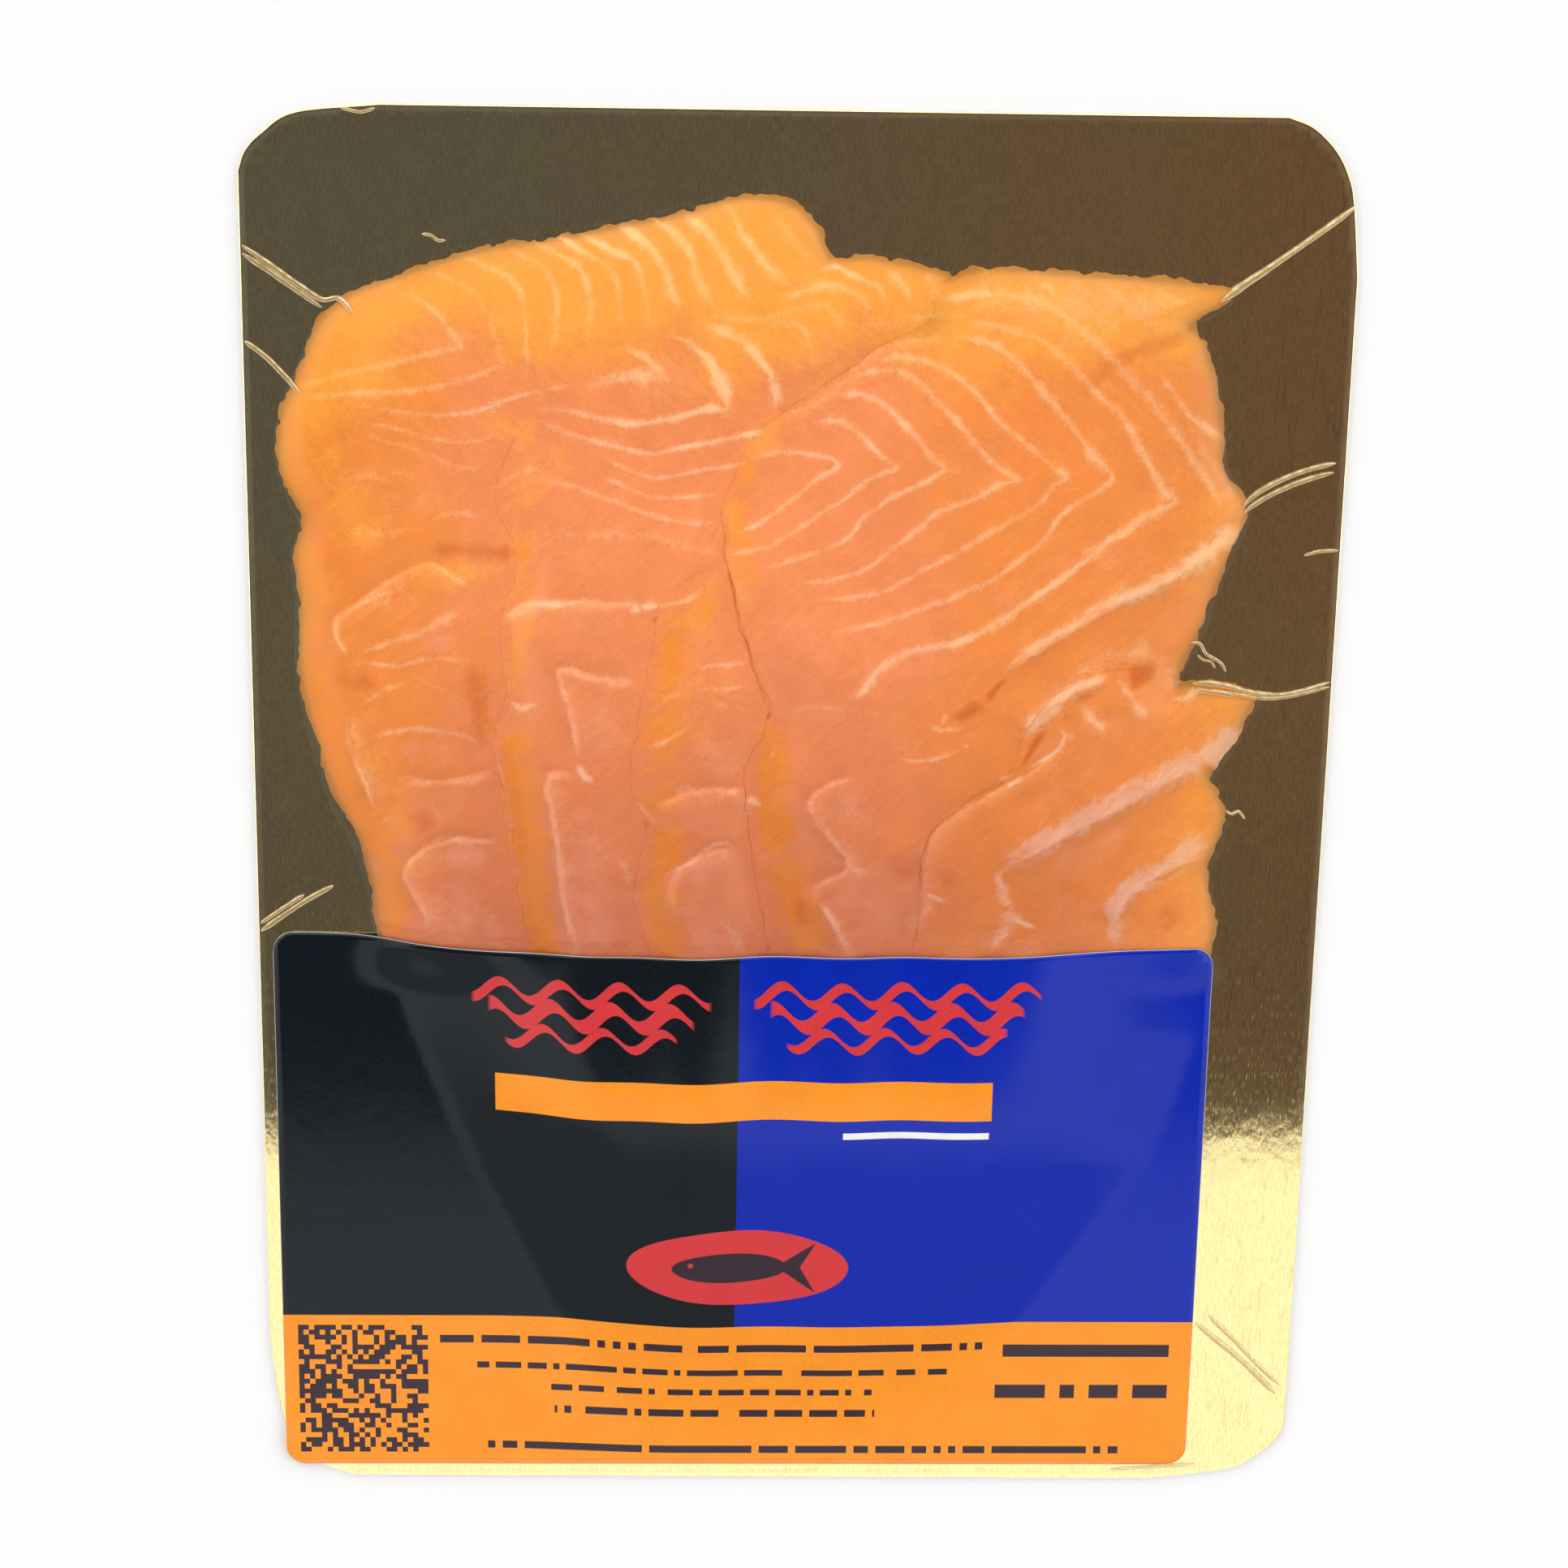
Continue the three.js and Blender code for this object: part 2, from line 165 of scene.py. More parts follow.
# Fat lines, with a few painted highlights and reflections on the film over the flesh among them.
FAT_LINES_AND_HIGHLIGHTS = (
    # fan of arcs along the top, the first two with the leg that runs back from them
    (0.45, (0.45, 0.5), ((-55.6, 78.4), (-54, 77.2), (-52, 76.3), (-50.1, 74.9), (-48.7, 73.7),
        (-47.5, 72), (-46, 70), (-48.2, 69.4), (-50.6, 68.9), (-52.5, 68.3), (-57.3, 67), (-61.1, 66.3),
        (-64.4, 65.3), (-68, 64.2))),
    (0.4, (0.4, 0.5), ((-50.5, 80), (-47.8, 79.1), (-45.9, 78.2), (-44.4, 77.2), (-43.4, 75.8),
        (-42.3, 74.4), (-41.6, 72), (-41, 69.6), (-40.5, 67), (-41.6, 67.1), (-43, 66.4), (-46.3, 65.2),
        (-49.2, 64.5), (-52, 63.9), (-55.4, 63.6), (-60, 63.4), (-63.5, 63.1), (-67.5, 62.8))),
    (0.45, (0.5, 0.4), ((-46.3, 82.2), (-44.4, 81.5), (-42.5, 80.6), (-40.6, 79.9), (-39.1, 78.9),
        (-38, 77.2), (-37.5, 74.9), (-37.3, 72), (-37.3, 69.1), (-36.9, 66.3))),
    (0.45, 0.5, ((-39.7, 83.3), (-37.8, 82.2), (-35.9, 81.3), (-34.4, 80.1), (-33.5, 77.7), (-33, 74.9),
        (-33.2, 73), (-33.7, 70.6), (-33.9, 68.7))),
    (0.5, (0.6, 0.45), ((-36.6, 84.5), (-34.9, 83.4), (-32.5, 82.2), (-30.6, 81.2), (-29.6, 79.6),
        (-29, 77.7), (-28.6, 75.3), (-28.7, 73), (-29.2, 71.5))),
    (0.5, (0.7, 0.35), ((-34, 85), (-32, 84.4), (-30.1, 83.1), (-27.8, 81.9), (-26.2, 80.8),
        (-25.1, 78.7), (-24.7, 75.8), (-24.9, 73))),
    (0.5, (0.8, 0.35), ((-30.1, 85.3), (-27.8, 84.1), (-25.4, 83), (-23, 82), (-22, 79.6), (-21.3, 77.2),
        (-20.9, 74.9), (-21.1, 73))),
    (0.55, (0.85, 0.45), ((-25, 86.4), (-22.5, 84.9), (-20.6, 83.6), (-19.2, 81.5), (-18.2, 79.1),
        (-17.3, 76.8), (-15.9, 74.9))),
    ((0.5, 0.7), (0.85, 0.5), ((-20.4, 87.6), (-18.2, 86), (-16.3, 84.4), (-15.1, 82.5), (-14.2, 79.6),
        (-13, 77.2), (-11.8, 75.3))),
    ((0.6, 0.9), (0.85, 0.6), ((-16.1, 88.3), (-14.4, 86.8), (-12.5, 85.1), (-11.1, 83), (-9.7, 80.6),
        (-8.2, 78.2), (-7, 76.8))),
    ((0.6, 0.9), (0.6, 0.65), ((-10.6, 89.5), (-9.2, 87.7), (-8.2, 85.3), (-6.3, 83), (-4.4, 80.6),
        (-2.5, 79.2), (-0.5, 78.6))),
    (0.8, 0.3, ((-5, 89), (-3, 87), (-1.8, 85), (0, 83), (1.8, 81.5))),
    (0.5, 0.5, ((-3, 77), (-1, 77.5), (1, 78.3), (3, 78.8), (5, 78.5), (7, 77.8), (8.5, 76.8),
        (8.7, 75.5), (8, 74.5))),
    (0.5, 0.35, ((-13, 74.7), (-9, 74.2), (-5, 74.2), (-3, 74.8), (1, 76), (3, 76), (4, 75), (5, 73.5),
        (5.2, 72))),
    (0.5, 0.4, ((-6, 73.3), (-3, 73.5), (-0.5, 73.3), (0.8, 71.8), (1.3, 70), (1.4, 68.3))),
    (0.45, 0.7, ((2, 80.8), (4, 81.3), (5.5, 80.8), (7.5, 79.8), (9.5, 79), (10.8, 77.8), (11, 76.3))),
    (0.6, 0.6, ((10.5, 81.3), (12, 80.3), (13.3, 79.2), (14.3, 78), (14.5, 76.5))),
    (0.6, 0.4, ((16, 81), (17.2, 79.5), (17.8, 78), (17.5, 76.8))),
    (0.5, 0.3, ((6.5, 73), (9, 73.8), (12, 73.5), (15, 74.5), (19, 75), (23, 74.8))),
    # nested chevrons at the left
    ((0.4, 0.8), (0.35, 0.85), ((-25.5, 70), (-23.5, 69.8), (-21.6, 69.1), (-20.1, 67.7), (-19, 66.5),
        (-18, 65.5))),
    ((0.8, 1.0), (0.7, 0.25), ((-18.4, 65.4), (-20.5, 66.1), (-22.5, 66.3), (-25.4, 65.9), (-27.8, 65.1),
        (-30.5, 63.9))),
    (0.35, (0.35, 0.6), ((-62, 62.2), (-57.3, 61.3), (-54, 60.8), (-50.1, 60.5), (-46.3, 60.8),
        (-43.5, 61.3), (-40.6, 62.5), (-37.8, 63.5), (-34.9, 64.1), (-31, 64.9))),
    ((0.5, 0.85), (0.6, 0.95), ((-18.2, 71.6), (-15.9, 71.2), (-14.7, 70.3), (-13, 68.7), (-11.6, 66.8),
        (-10.6, 64.9), (-10.1, 63), (-9.9, 61.2))),
    ((0.55, 0.35), (0.9, 0.5), ((-9.6, 61.4), (-11.6, 61.8), (-13.5, 61.6), (-15.4, 61), (-18.2, 60.3),
        (-22.5, 59.7), (-25.4, 60), (-27.8, 60.4), (-30.1, 61), (-32.5, 61.4), (-37, 61.7))),
    ((0.8, 0.6), (0.7, 0.75), ((-13.5, 73.5), (-10.5, 72.4), (-8, 71), (-6, 69), (-4.6, 67.2),
        (-3.8, 65.5), (-3.4, 63.5), (-3.5, 61.5))),
    (0.4, (0.45, 0.8), ((-36, 60.2), (-33.5, 58.8), (-31.1, 58.1), (-28, 57.2), (-24, 56.2),
        (-21.6, 55.6), (-19.2, 55.7), (-16.8, 56.3), (-14, 56.9), (-11.1, 57.5), (-7.8, 58.2),
        (-4.5, 59.2))),
    (0.3, 0.4, ((-27.8, 56.9), (-26.4, 56.6), (-25.1, 57), (-24, 57.4))),
    (0.33, 0.4, ((-60, 59.4), (-57, 59), (-54, 58.3), (-51.6, 57.6), (-49.2, 57.1), (-46.3, 56.8),
        (-43.5, 57.1), (-41, 58.2))),
    (0.33, (0.25, 0.4), ((-60.5, 58.5), (-57, 57), (-52.5, 55.8), (-50.1, 54.9), (-47.8, 53.8),
        (-44.9, 53.2), (-42.6, 53.4))),
    (0.35, 0.6, ((-27, 55), (-24.4, 53.7), (-22.5, 52.9), (-20.1, 52.2), (-16.8, 52.6), (-13.5, 53.4),
        (-10.1, 53.8), (-7, 54.6))),
    (0.33, 0.5, ((-27.5, 52.6), (-25.9, 51.8), (-23, 50.6), (-20.6, 49.6), (-17.8, 49.4), (-14.4, 49.7),
        (-10.6, 50.1))),
    (0.4, 0.5, ((-36, 52.2), (-34.9, 51.8), (-32, 51.1), (-29.2, 50.2), (-26.3, 49.3), (-23.5, 48.2),
        (-21.1, 47.2), (-18.2, 46.5), (-15.4, 46), (-11.2, 46.1))),
    (0.6, 0.35, ((-36, 44.6), (-32.5, 44.4), (-28.2, 44.1), (-23.5, 44.1), (-19.7, 43.9), (-16.8, 43),
        (-14, 42.2), (-10.6, 41.6))),
    (0.5, 0.35, ((-41.8, 50.4), (-40.1, 51.5), (-38, 52.9), (-36, 53.2), (-34.8, 52.2))),
    # the left column
    (0.9, 0.25, ((-66, 50.6), (-63.5, 51.3), (-60, 51.8), (-56.5, 52.1), (-52, 52.5))),
    (0.35, 0.4, ((-51, 45.6), (-49, 46.6), (-46.3, 47), (-44.4, 46.6), (-43, 46.4))),
    (0.5, 0.3, ((-62.5, 44.2), (-60.5, 44.3), (-57.3, 44), (-55, 44.4), (-53, 45))),
    (0.4, 0.5, ((-50.8, 40), (-49, 39), (-47.3, 37.9), (-45.8, 37), (-45.2, 35.8))),
    (0.35, 0.5, ((-55.8, 35.9), (-58, 35.2), (-60.6, 33.9), (-62.8, 33), (-63.9, 31.5), (-63.7, 29.3),
        (-62.4, 27), (-61.9, 25.7))),
    (1.0, 0.3, ((-58, 35), (-56.3, 33.5))),
    ((0.33, 0.7), 0.45, ((-60.6, 27.2), (-58, 28), (-55.8, 28.9), (-53.2, 29.6), (-51, 30.7),
        (-48.7, 31.9), (-46.9, 32.6), (-45.8, 31.5))),
    (0.33, 0.45, ((-62, 25.6), (-59.1, 25.7), (-56.9, 25.4), (-55, 25.4), (-52.4, 26.1), (-49.5, 26.5),
        (-47.3, 26.2), (-45, 26))),
    (0.3, 0.3, ((-53.9, 24.1), (-51.7, 23.3), (-49.5, 22.2), (-47.3, 21.1), (-45.4, 19.6))),
    (0.33, 0.4, ((-61.9, 19.4), (-60, 20), (-58.4, 21.1), (-56.9, 22), (-55, 22.6), (-53.7, 23.3))),
    (0.3, 0.6, ((-62.3, 17.8), (-62.4, 15.6), (-61.9, 12.6), (-61, 10.4), (-60.2, 8.5), (-59.5, 6.3),
        (-58.6, 4.1))),
    (0.4, 0.45, ((-59.9, 14.4), (-57.6, 15.4), (-55.4, 15.9), (-53.2, 16.3), (-50.6, 16.1), (-48, 15.7),
        (-45.8, 15.2), (-43.9, 14.1))),
    (0.38, 0.4, ((-55.8, 8.9), (-53.9, 9.3), (-52.1, 8.5), (-50.2, 8.7), (-47.3, 8.5), (-45, 8.7),
        (-42.4, 9.8))),
    (0.3, 0.3, ((-51.7, 5.9), (-50.2, 4.4), (-49.5, 3))),
    (0.3, 0.3, ((-58.4, 2.4), (-57.3, 3), (-56.1, 3.9))),
    (0.38, 0.45, ((-55.2, -4.4), (-53.6, -3), (-52.4, -1.5), (-50.6, 0), (-49.1, 0.4), (-47.6, 0.2),
        (-45.8, -0.2), (-40.6, 0.2))),
    (0.36, 0.5, ((-53, -7.8), (-52.3, -10), (-51.7, -12.6), (-50.6, -14.3), (-49.5, -15.2))),
    # a broad pale patch near the label: painted reflection
    (1.5, 0.3, ((-45.8, -8.9), (-43.9, -10.7), (-42.4, -13), (-41.3, -15.2))),
    # the second slice
    (0.42, 0.55, ((-40.8, 30.7), (-40.2, 32.2), (-38.7, 33.7), (-37.3, 34.4), (-34.7, 34.3),
        (-32.4, 34.3), (-29.1, 34.8), (-25.4, 34.4), (-22.8, 34.3), (-20.2, 34.1), (-18, 34.4),
        (-15, 35.2), (-13, 36.5))),
    (0.6, 0.85, ((-23, 34.3), (-21.7, 33.2))),
    (0.5, 0.85, ((-21.9, 34.1), (-19.1, 34.2))),
    (0.3, 0.3, ((-40.8, 27.8), (-40.2, 25.2), (-40, 22.2))),
    ((0.6, 0.9), 0.45, ((-33.2, 24.8), (-31, 25.2), (-29.9, 24.1), (-27.3, 23.7), (-24.3, 23.7),
        (-22.1, 22.6))),
    (0.4, 0.45, ((-32.8, 24.1), (-32.4, 21.5), (-31.9, 19.6), (-31, 17), (-30.6, 14.4), (-30.2, 12.2))),
    # a small white fleck: painted highlight
    (0.45, 0.9, ((-30.6, 11.5), (-29.7, 10), (-28.9, 9.3), (-28, 8.5))),
    (0.4, 0.4, ((-34.9, 9.3), (-33.6, 9.4), (-31.7, 9.6), (-30.6, 10))),
    ((0.38, 1.0), (0.38, 0.32), ((-34.5, 8.1), (-34.1, 5.2), (-33.7, 2.2), (-33.4, -0.7), (-33.2, -4.4),
        (-33, -7.4), (-32.4, -10), (-31.5, -13), (-30.6, -16), (-30, -19))),
    (0.3, 0.3, ((-41.7, 14.8), (-41.5, 11.9), (-40.8, 8.5), (-40.4, 4.8), (-40, 2.6), (-39.7, -0.7),
        (-39.1, -4.8), (-38.4, -8.5))),
    (0.5, 0.9, ((-39.8, 20.7), (-39.1, 20), (-38.4, 19.3), (-36.9, 19.8), (-35.8, 20))),
    (0.3, 0.35, ((-38.4, 19.1), (-36.5, 17.8))),
    ((1.0, 0.5), 0.4, ((-25.4, -1.9), (-23.9, -3.3), (-23, -6.3), (-22.6, -8.5))),
    # the middle slice
    (0.35, 0.65, ((-14, 25.3), (-12, 25.7), (-10, 25.9), (-6.7, 26.2))),
    (0.3, 0.5, ((-14, 22), (-12, 22.4), (-9.3, 22.5), (-7.3, 22.8), (-5.7, 22.3))),
    (0.3, 0.35, ((-21.2, 18.3), (-20, 19.2), (-18.7, 20), (-18, 21), (-17.3, 21.3), (-16, 21.5),
        (-14.3, 21.3))),
    (0.28, 0.3, ((-13, 20.8), (-10.7, 20.2), (-8.3, 19.7), (-5.7, 19.2))),
    (0.38, 0.45, ((-21.2, 13), (-20, 14), (-18.7, 14.5), (-17.3, 15.3), (-16, 16.2), (-14.7, 16.7))),
    (0.4, 0.5, ((-22.3, 6), (-21, 4.7), (-19.7, 3.3), (-19, 2.7))),
    (0.4, 0.4, ((-17.7, 7), (-16, 8), (-14, 7.7), (-12.3, 6.3), (-10, 6.5), (-9.3, 7.3), (-7.3, 7.7),
        (-6.3, 8.7))),
    (0.55, 0.8, ((-7, 6.3), (-5.3, 6), (-4.8, 5.3))),
    (0.4, 0.45, ((-7.3, 4.3), (-6, 4.3))),
    (0.42, 0.5, ((-18.3, -5.3), (-17.3, -4.3), (-15.3, -3.5), (-14, -2.7), (-12.7, -1.3), (-11, -0.3),
        (-9.3, 0), (-8, -1))),
    (0.4, 0.28, ((-17.7, -4.7), (-18, -7.3), (-17.7, -10), (-17, -13), (-15.7, -14.7))),
    (0.8, 0.4, ((-10, -10.3), (-9, -12.7), (-7.7, -14.7), (-6.7, -16.7))),
    (1.1, 0.25, ((-6.5, -10.5), (-5.5, -12.5))),
    (0.4, 0.35, ((-15.5, -17), (-13.5, -17.3))),
    # nested chevrons of the right slice, from the innermost
    (0.42, 0.55, ((-6.5, 55.2), (-4, 55.8), (-0.9, 56), (2.2, 55.6), (4.3, 55.1), (5.4, 54.3),
        (4.3, 53.5), (2.2, 52.2), (0.6, 50.7), (-2, 48.6), (-4.1, 46.9), (-6.2, 45.6), (-8.6, 44.7))),
    ((0.48, 0.36), (0.62, 0.5), ((1.5, 60), (3, 60.3), (5.9, 60.1), (8, 58.7), (10.1, 56.6), (11.7, 55.1),
        (13.2, 54), (10.6, 52.9), (8.5, 51.6), (6.4, 49.6), (3.3, 47.7), (0.6, 45.8), (-2, 44),
        (-4.6, 42.7), (-7.8, 41.9), (-9.9, 41.6))),
    ((0.48, 0.36), (0.65, 0.45), ((4.8, 63.7), (8, 64.1), (10.6, 63.2), (12.7, 61.4), (14.8, 59.3),
        (16.7, 57.2), (18.3, 55.1), (19.8, 54), (18, 52.4), (15.4, 51.1), (12.7, 49.8), (10.6, 48.2),
        (8.8, 46.9), (7.5, 44.8), (5.9, 43.5), (3.3, 42.4), (0.6, 41.4), (-2.5, 40.3), (-5, 39.8))),
    (0.35, 0.4, ((19.6, 54), (22.5, 53.3))),
    ((0.52, 0.38), (0.6, 0.45), ((6.9, 66.4), (10.1, 67.3), (13.3, 67.2), (15.9, 65.8), (18.5, 63.2),
        (21.2, 60.6), (23.3, 58.2), (25.4, 55.8), (27.5, 54), (30.1, 52.5), (28, 51.9), (25.9, 50.8),
        (23.8, 49.5), (20.6, 48.5), (18.5, 47.4), (16.9, 45.8), (15.4, 44.5), (13.3, 42.9), (11.2, 41.1),
        (9.1, 39.6), (5.9, 38.5), (2.7, 37.8), (-1, 37.9))),
    ((0.52, 0.4), (0.5, 0.5), ((10.1, 68.7), (13.3, 69.3), (16.4, 68.8), (19.6, 67.5), (22.2, 65.8),
        (24.3, 64), (25.9, 61.9), (28, 59.8), (30.1, 58.2), (32.7, 56.1), (34.8, 54.3), (36.7, 52.9),
        (34.8, 51.6), (33.8, 49.9), (31.7, 48.2), (29.1, 46.6), (26.9, 45.3), (24.3, 43.7), (21.7, 41.9),
        (19.1, 40.6), (16.4, 39.2), (13.8, 37.5), (11.2, 36.4), (6.9, 35.6), (3, 35.3))),
    (0.9, 0.4, ((33.8, 55.2), (36.4, 53.2))),
    ((0.52, 0.45), (0.5, 0.55), ((20.6, 72), (23.8, 71.7), (26.9, 70.6), (29.6, 68.2), (32.2, 65.6),
        (34.3, 63.2), (36.4, 60.8), (38.5, 58.2), (40.6, 55.6), (43, 52.9), (41.2, 51.1), (38.5, 49.5),
        (36.4, 47.9), (35.4, 46.6), (34.3, 44.8), (32.7, 42.9), (30.1, 40.8), (27.5, 38.7), (24.3, 37.2),
        (21.2, 35.6), (17.5, 34.3), (13.3, 32.7), (9.1, 31.5), (4.5, 30.6))),
    (0.8, 0.45, ((38.6, 57.6), (41, 54.6), (42.6, 53))),
    ((0.55, 0.65), (0.45, 0.7), ((21.7, 74), (25.9, 73.8), (29.1, 72.8), (32.7, 71.6), (35.4, 69.5),
        (38, 67.2), (40.6, 64.2), (43.8, 61.6), (45.4, 59.3), (46.9, 56.6), (48.5, 54), (50.1, 51.4),
        (51.9, 49.5), (50.1, 48.7), (48, 47.7), (46.4, 46.4), (44.8, 45.1), (42.7, 44), (40.6, 41.9),
        (38, 39.8), (35.4, 37.7), (32.7, 35.8), (30.1, 33.7), (26.9, 31.6), (24.3, 30.3), (21.2, 29),
        (17.5, 28.4), (13.8, 27.1), (11.3, 25.2), (9.5, 22.3), (7.5, 21.3))),
    (1.5, 0.5, ((49.2, 51.4), (51.3, 50.2))),
    (0.8, 0.45, ((50, 48.5), (46.4, 46.2), (44.8, 44.9), (42.5, 43.6), (38, 39.7))),
    (0.3, 0.4, ((51.9, 48.5), (50.1, 47.5), (48.5, 47), (46.5, 45.6))),
    ((0.8, 0.6), (0.6, 0.4), ((18, 77), (22.7, 77.7), (25.9, 77.9), (30.1, 77.4), (33.3, 76.3),
        (36.4, 74.3), (39.6, 71.9), (42.2, 69.5), (44.8, 66.6), (47.5, 64), (50.1, 60.8), (52.2, 58.2),
        (53.8, 55.6), (55.9, 52.9), (57.5, 50.3), (58.8, 47.7))),
    (1.2, 0.35, ((25, 77.6), (30, 77.2), (34, 75.6))),
    (2.4, 0.3, ((22, 77.8), (30, 77.5), (38, 76.5), (46, 76.8), (52, 77.5))),
    (0.7, 0.4, ((30.5, 79.5), (34, 78.5), (37, 76.5), (40, 74.8), (43, 73.2))),
    (0.7, 0.45, ((40, 79.5), (44, 77.2), (48, 76.4), (51, 77.2), (53, 78))),
    # a pale streak along a film ridge: painted highlight
    ((0.5, 0.75), 0.5, ((49, 67.3), (51, 64.5), (52.8, 62.3), (54.6, 60.5), (56.4, 59.5), (58.2, 57.8))),
    (0.6, 0.3, ((53, 61), (55.4, 56.6), (57.5, 54), (59, 51.4), (60.3, 49.5))),
    ((1.2, 0.45), (0.8, 0.5), ((61.4, 46.4), (59, 44.8), (56.4, 42.4), (53.3, 40), (50.1, 38.2),
        (46.9, 36.6), (43.8, 35.6), (41.2, 34), (38.5, 31.9), (35.4, 30.3), (32.7, 28.5), (30.1, 26.4),
        (28.5, 24.5))),
    (0.5, 0.6, ((52, 39.6), (46.9, 37.1), (43.8, 36), (41.2, 34.5), (38.5, 32.4))),
    (0.38, 0.3, ((-3.5, 60.8), (-1, 61.6), (1, 62.8), (3.5, 64.6), (6.4, 67.2), (9.1, 69.2), (11.7, 70.8),
        (15.4, 71.6), (20, 72.4))),
    (0.3, 0.35, ((-1.3, 18.3), (0.7, 19.7), (2.7, 20), (6, 19.7), (9.3, 19.3), (12, 18.7))),
    (0.35, 0.4, ((-3.8, 12), (-3, 13.3), (-2.3, 14.7))),
    (0.35, 0.35, ((2, 4.3), (2.7, 6.7), (3.7, 7.8), (6, 9), (9.3, 10))),
    (0.4, 0.45, ((2.7, 3), (4.3, 1.7), (5.7, 0.3), (6.7, -1.3), (7.7, -2.3))),
    (0.9, 0.4, ((7.5, -2.5), (8, -3))),
    (0.4, 0.55, ((8, -3.7), (9.3, -4), (11, -4.5))),
    (0.4, 0.4, ((7, -4), (6, -4.8), (4.3, -6), (3.3, -7))),
    (1.0, 0.5, ((30.2, -9.4), (31.2, -10.8), (30.6, -12.4))),
    ((0.45, 0.85), 0.6, ((3.7, -8), (4.7, -9.7), (6, -11.7), (7, -13.7), (8, -15.7), (9, -17.3))),
    (0.3, 0.25, ((-3.3, -1.3), (-0.7, -2), (2, -3), (4.3, -3.7))),
    (0.33, 0.5, ((20.4, 17.3), (20.8, 18.4), (21.7, 19.4))),
    (0.33, 0.6, ((18, 17.6), (19, 17.3), (20.4, 16.8), (22.2, 16.9), (24, 16.9))),
    (0.3, 0.4, ((16.1, 14.8), (17.2, 14.8), (18.6, 15.1))),
    (0.33, 0.45, ((14, 12.6), (16.1, 12.3), (18.3, 12.3), (20.1, 12.5), (21.9, 13.4), (23.3, 13.7))),
    (0.6, 0.7, ((23.8, 14.5), (24.2, 14.1))),
    (0.33, 0.45, ((24.9, 16.6), (24.7, 15.5))),
    # the torn lower right slice
    ((1.15, 0.7), 0.8, ((32.1, 15.8), (33.5, 17.7), (35.9, 20), (37.8, 22), (39.7, 23.4), (42.1, 24.1),
        (44, 25))),
    (1.4, 0.4, ((38, 24.6), (42, 26.6), (46, 28), (51, 28.2))),
    (0.3, 0.8, ((36.5, 18), (36.9, 17.3), (37.6, 16.6), (38.1, 16), (37.9, 15.7), (37.3, 14.4),
        (36.4, 13.5), (35.4, 12.8), (34, 12), (32.6, 10.8))),
    (0.28, 0.4, ((37.9, 15.7), (39.4, 16))),
    (0.36, 0.9, ((29.9, 8.4), (30.8, 9.1), (32.2, 9.6))),
    (0.3, 0.5, ((28.3, 9.8), (29.7, 9.8), (30.8, 10.3))),
    (0.33, 0.4, ((29.7, 8), (28.3, 7.3), (27.2, 7.3), (26.1, 6.2), (24.4, 5.9), (22.9, 5.1), (21.7, 4.1),
        (20.8, 3), (20.1, 2.1))),
    (0.3, 0.25, ((19.9, 1.6), (18.3, -0.6), (18.5, -3.1), (19.2, -6.3))),
    (0.4, 0.65, ((18.3, -7.4), (19.7, -7.7), (21.1, -8.3), (22.9, -9))),
    (0.65, 0.35, ((19.4, -8.1), (19.4, -9.9), (17.9, -11.3), (17, -13.8), (17.6, -16.3))),
    (0.75, 0.65, ((45, 24.3), (46.4, 22.4), (48.3, 20), (49.5, 18.4))),
    (0.8, 0.6, ((40.2, 20.8), (41.4, 18.9), (43, 17.4), (43.6, 15.8))),
    (0.4, 0.25, ((45.1, 16.6), (46.1, 16.9))),
    (1.2, 0.4, ((50.5, 28), (51.5, 25.5), (52.5, 23), (53, 22))),
    # a bright streak on the film at the notch: painted highlight
    (0.5, 0.95, ((52.9, 21.6), (54.4, 21.6), (55.6, 22.3), (56.9, 23.2))),
    (0.8, 0.45, ((29.4, -3.8), (29.1, -5.1), (30, -6.3), (30.3, -7.8), (30.9, -9.5), (31.5, -10.6))),
    (0.45, 0.85, ((31.1, -10.6), (32.2, -11.3), (34, -12), (34.9, -12.4))),
    (0.65, 0.55, ((31.9, -12), (30.8, -13.1), (29.4, -14.5), (28.3, -16.3))),
    (0.3, 0.3, ((23.6, -10.8), (26.9, -11.3), (30, -11.6))),
    (0.5, 0.45, ((48.1, -7.7), (50.1, -6.3), (53.3, -5.2), (56.1, -3.1), (57.9, -2.4))),
    (0.8, 0.55, ((46.5, -13.9), (46.5, -13.1))),
)

# Broad pale bands with firm edges.
FAT_BANDS = (
    ((1.8, 2.3), (0.8, 1.0), ((30.2, -3.8), (32.6, -1.3), (35, 0.2), (37.8, 1.7), (40.7, 3.5), (43, 5),
        (45.4, 6.3), (47.8, 7.7), (50.2, 9), (52.6, 10.4), (55, 11.9), (57.3, 13.1), (59.2, 14),
        (61.1, 15.7), (62.8, 17.8))),
    (1.5, 0.9, ((38.5, 2.4), (41, 4), (43.5, 5.6), (46, 7))),
    (0.7, (0.6, 0.5), ((30.4, -2.8), (29.3, -4.6), (29.4, -6.6), (30.6, -8.6), (32, -10.4))),
    (1.1, 0.45, ((31.4, -11.6), (29.8, -13.4), (28.6, -15.6))),
    ((1.5, 1.7), (0.95, 0.8), ((46.6, -15.6), (46.3, -11.9), (46, -9.5), (46.9, -7.8), (48.3, -6.1),
        (50.2, -4.7), (52.6, -3.2), (55, -1.4))),
    ((1.4, 2.6), (0.7, 0.6), ((52.6, -3.2), (55, -1.4), (57.3, 0.5), (59, 2.6))),
)

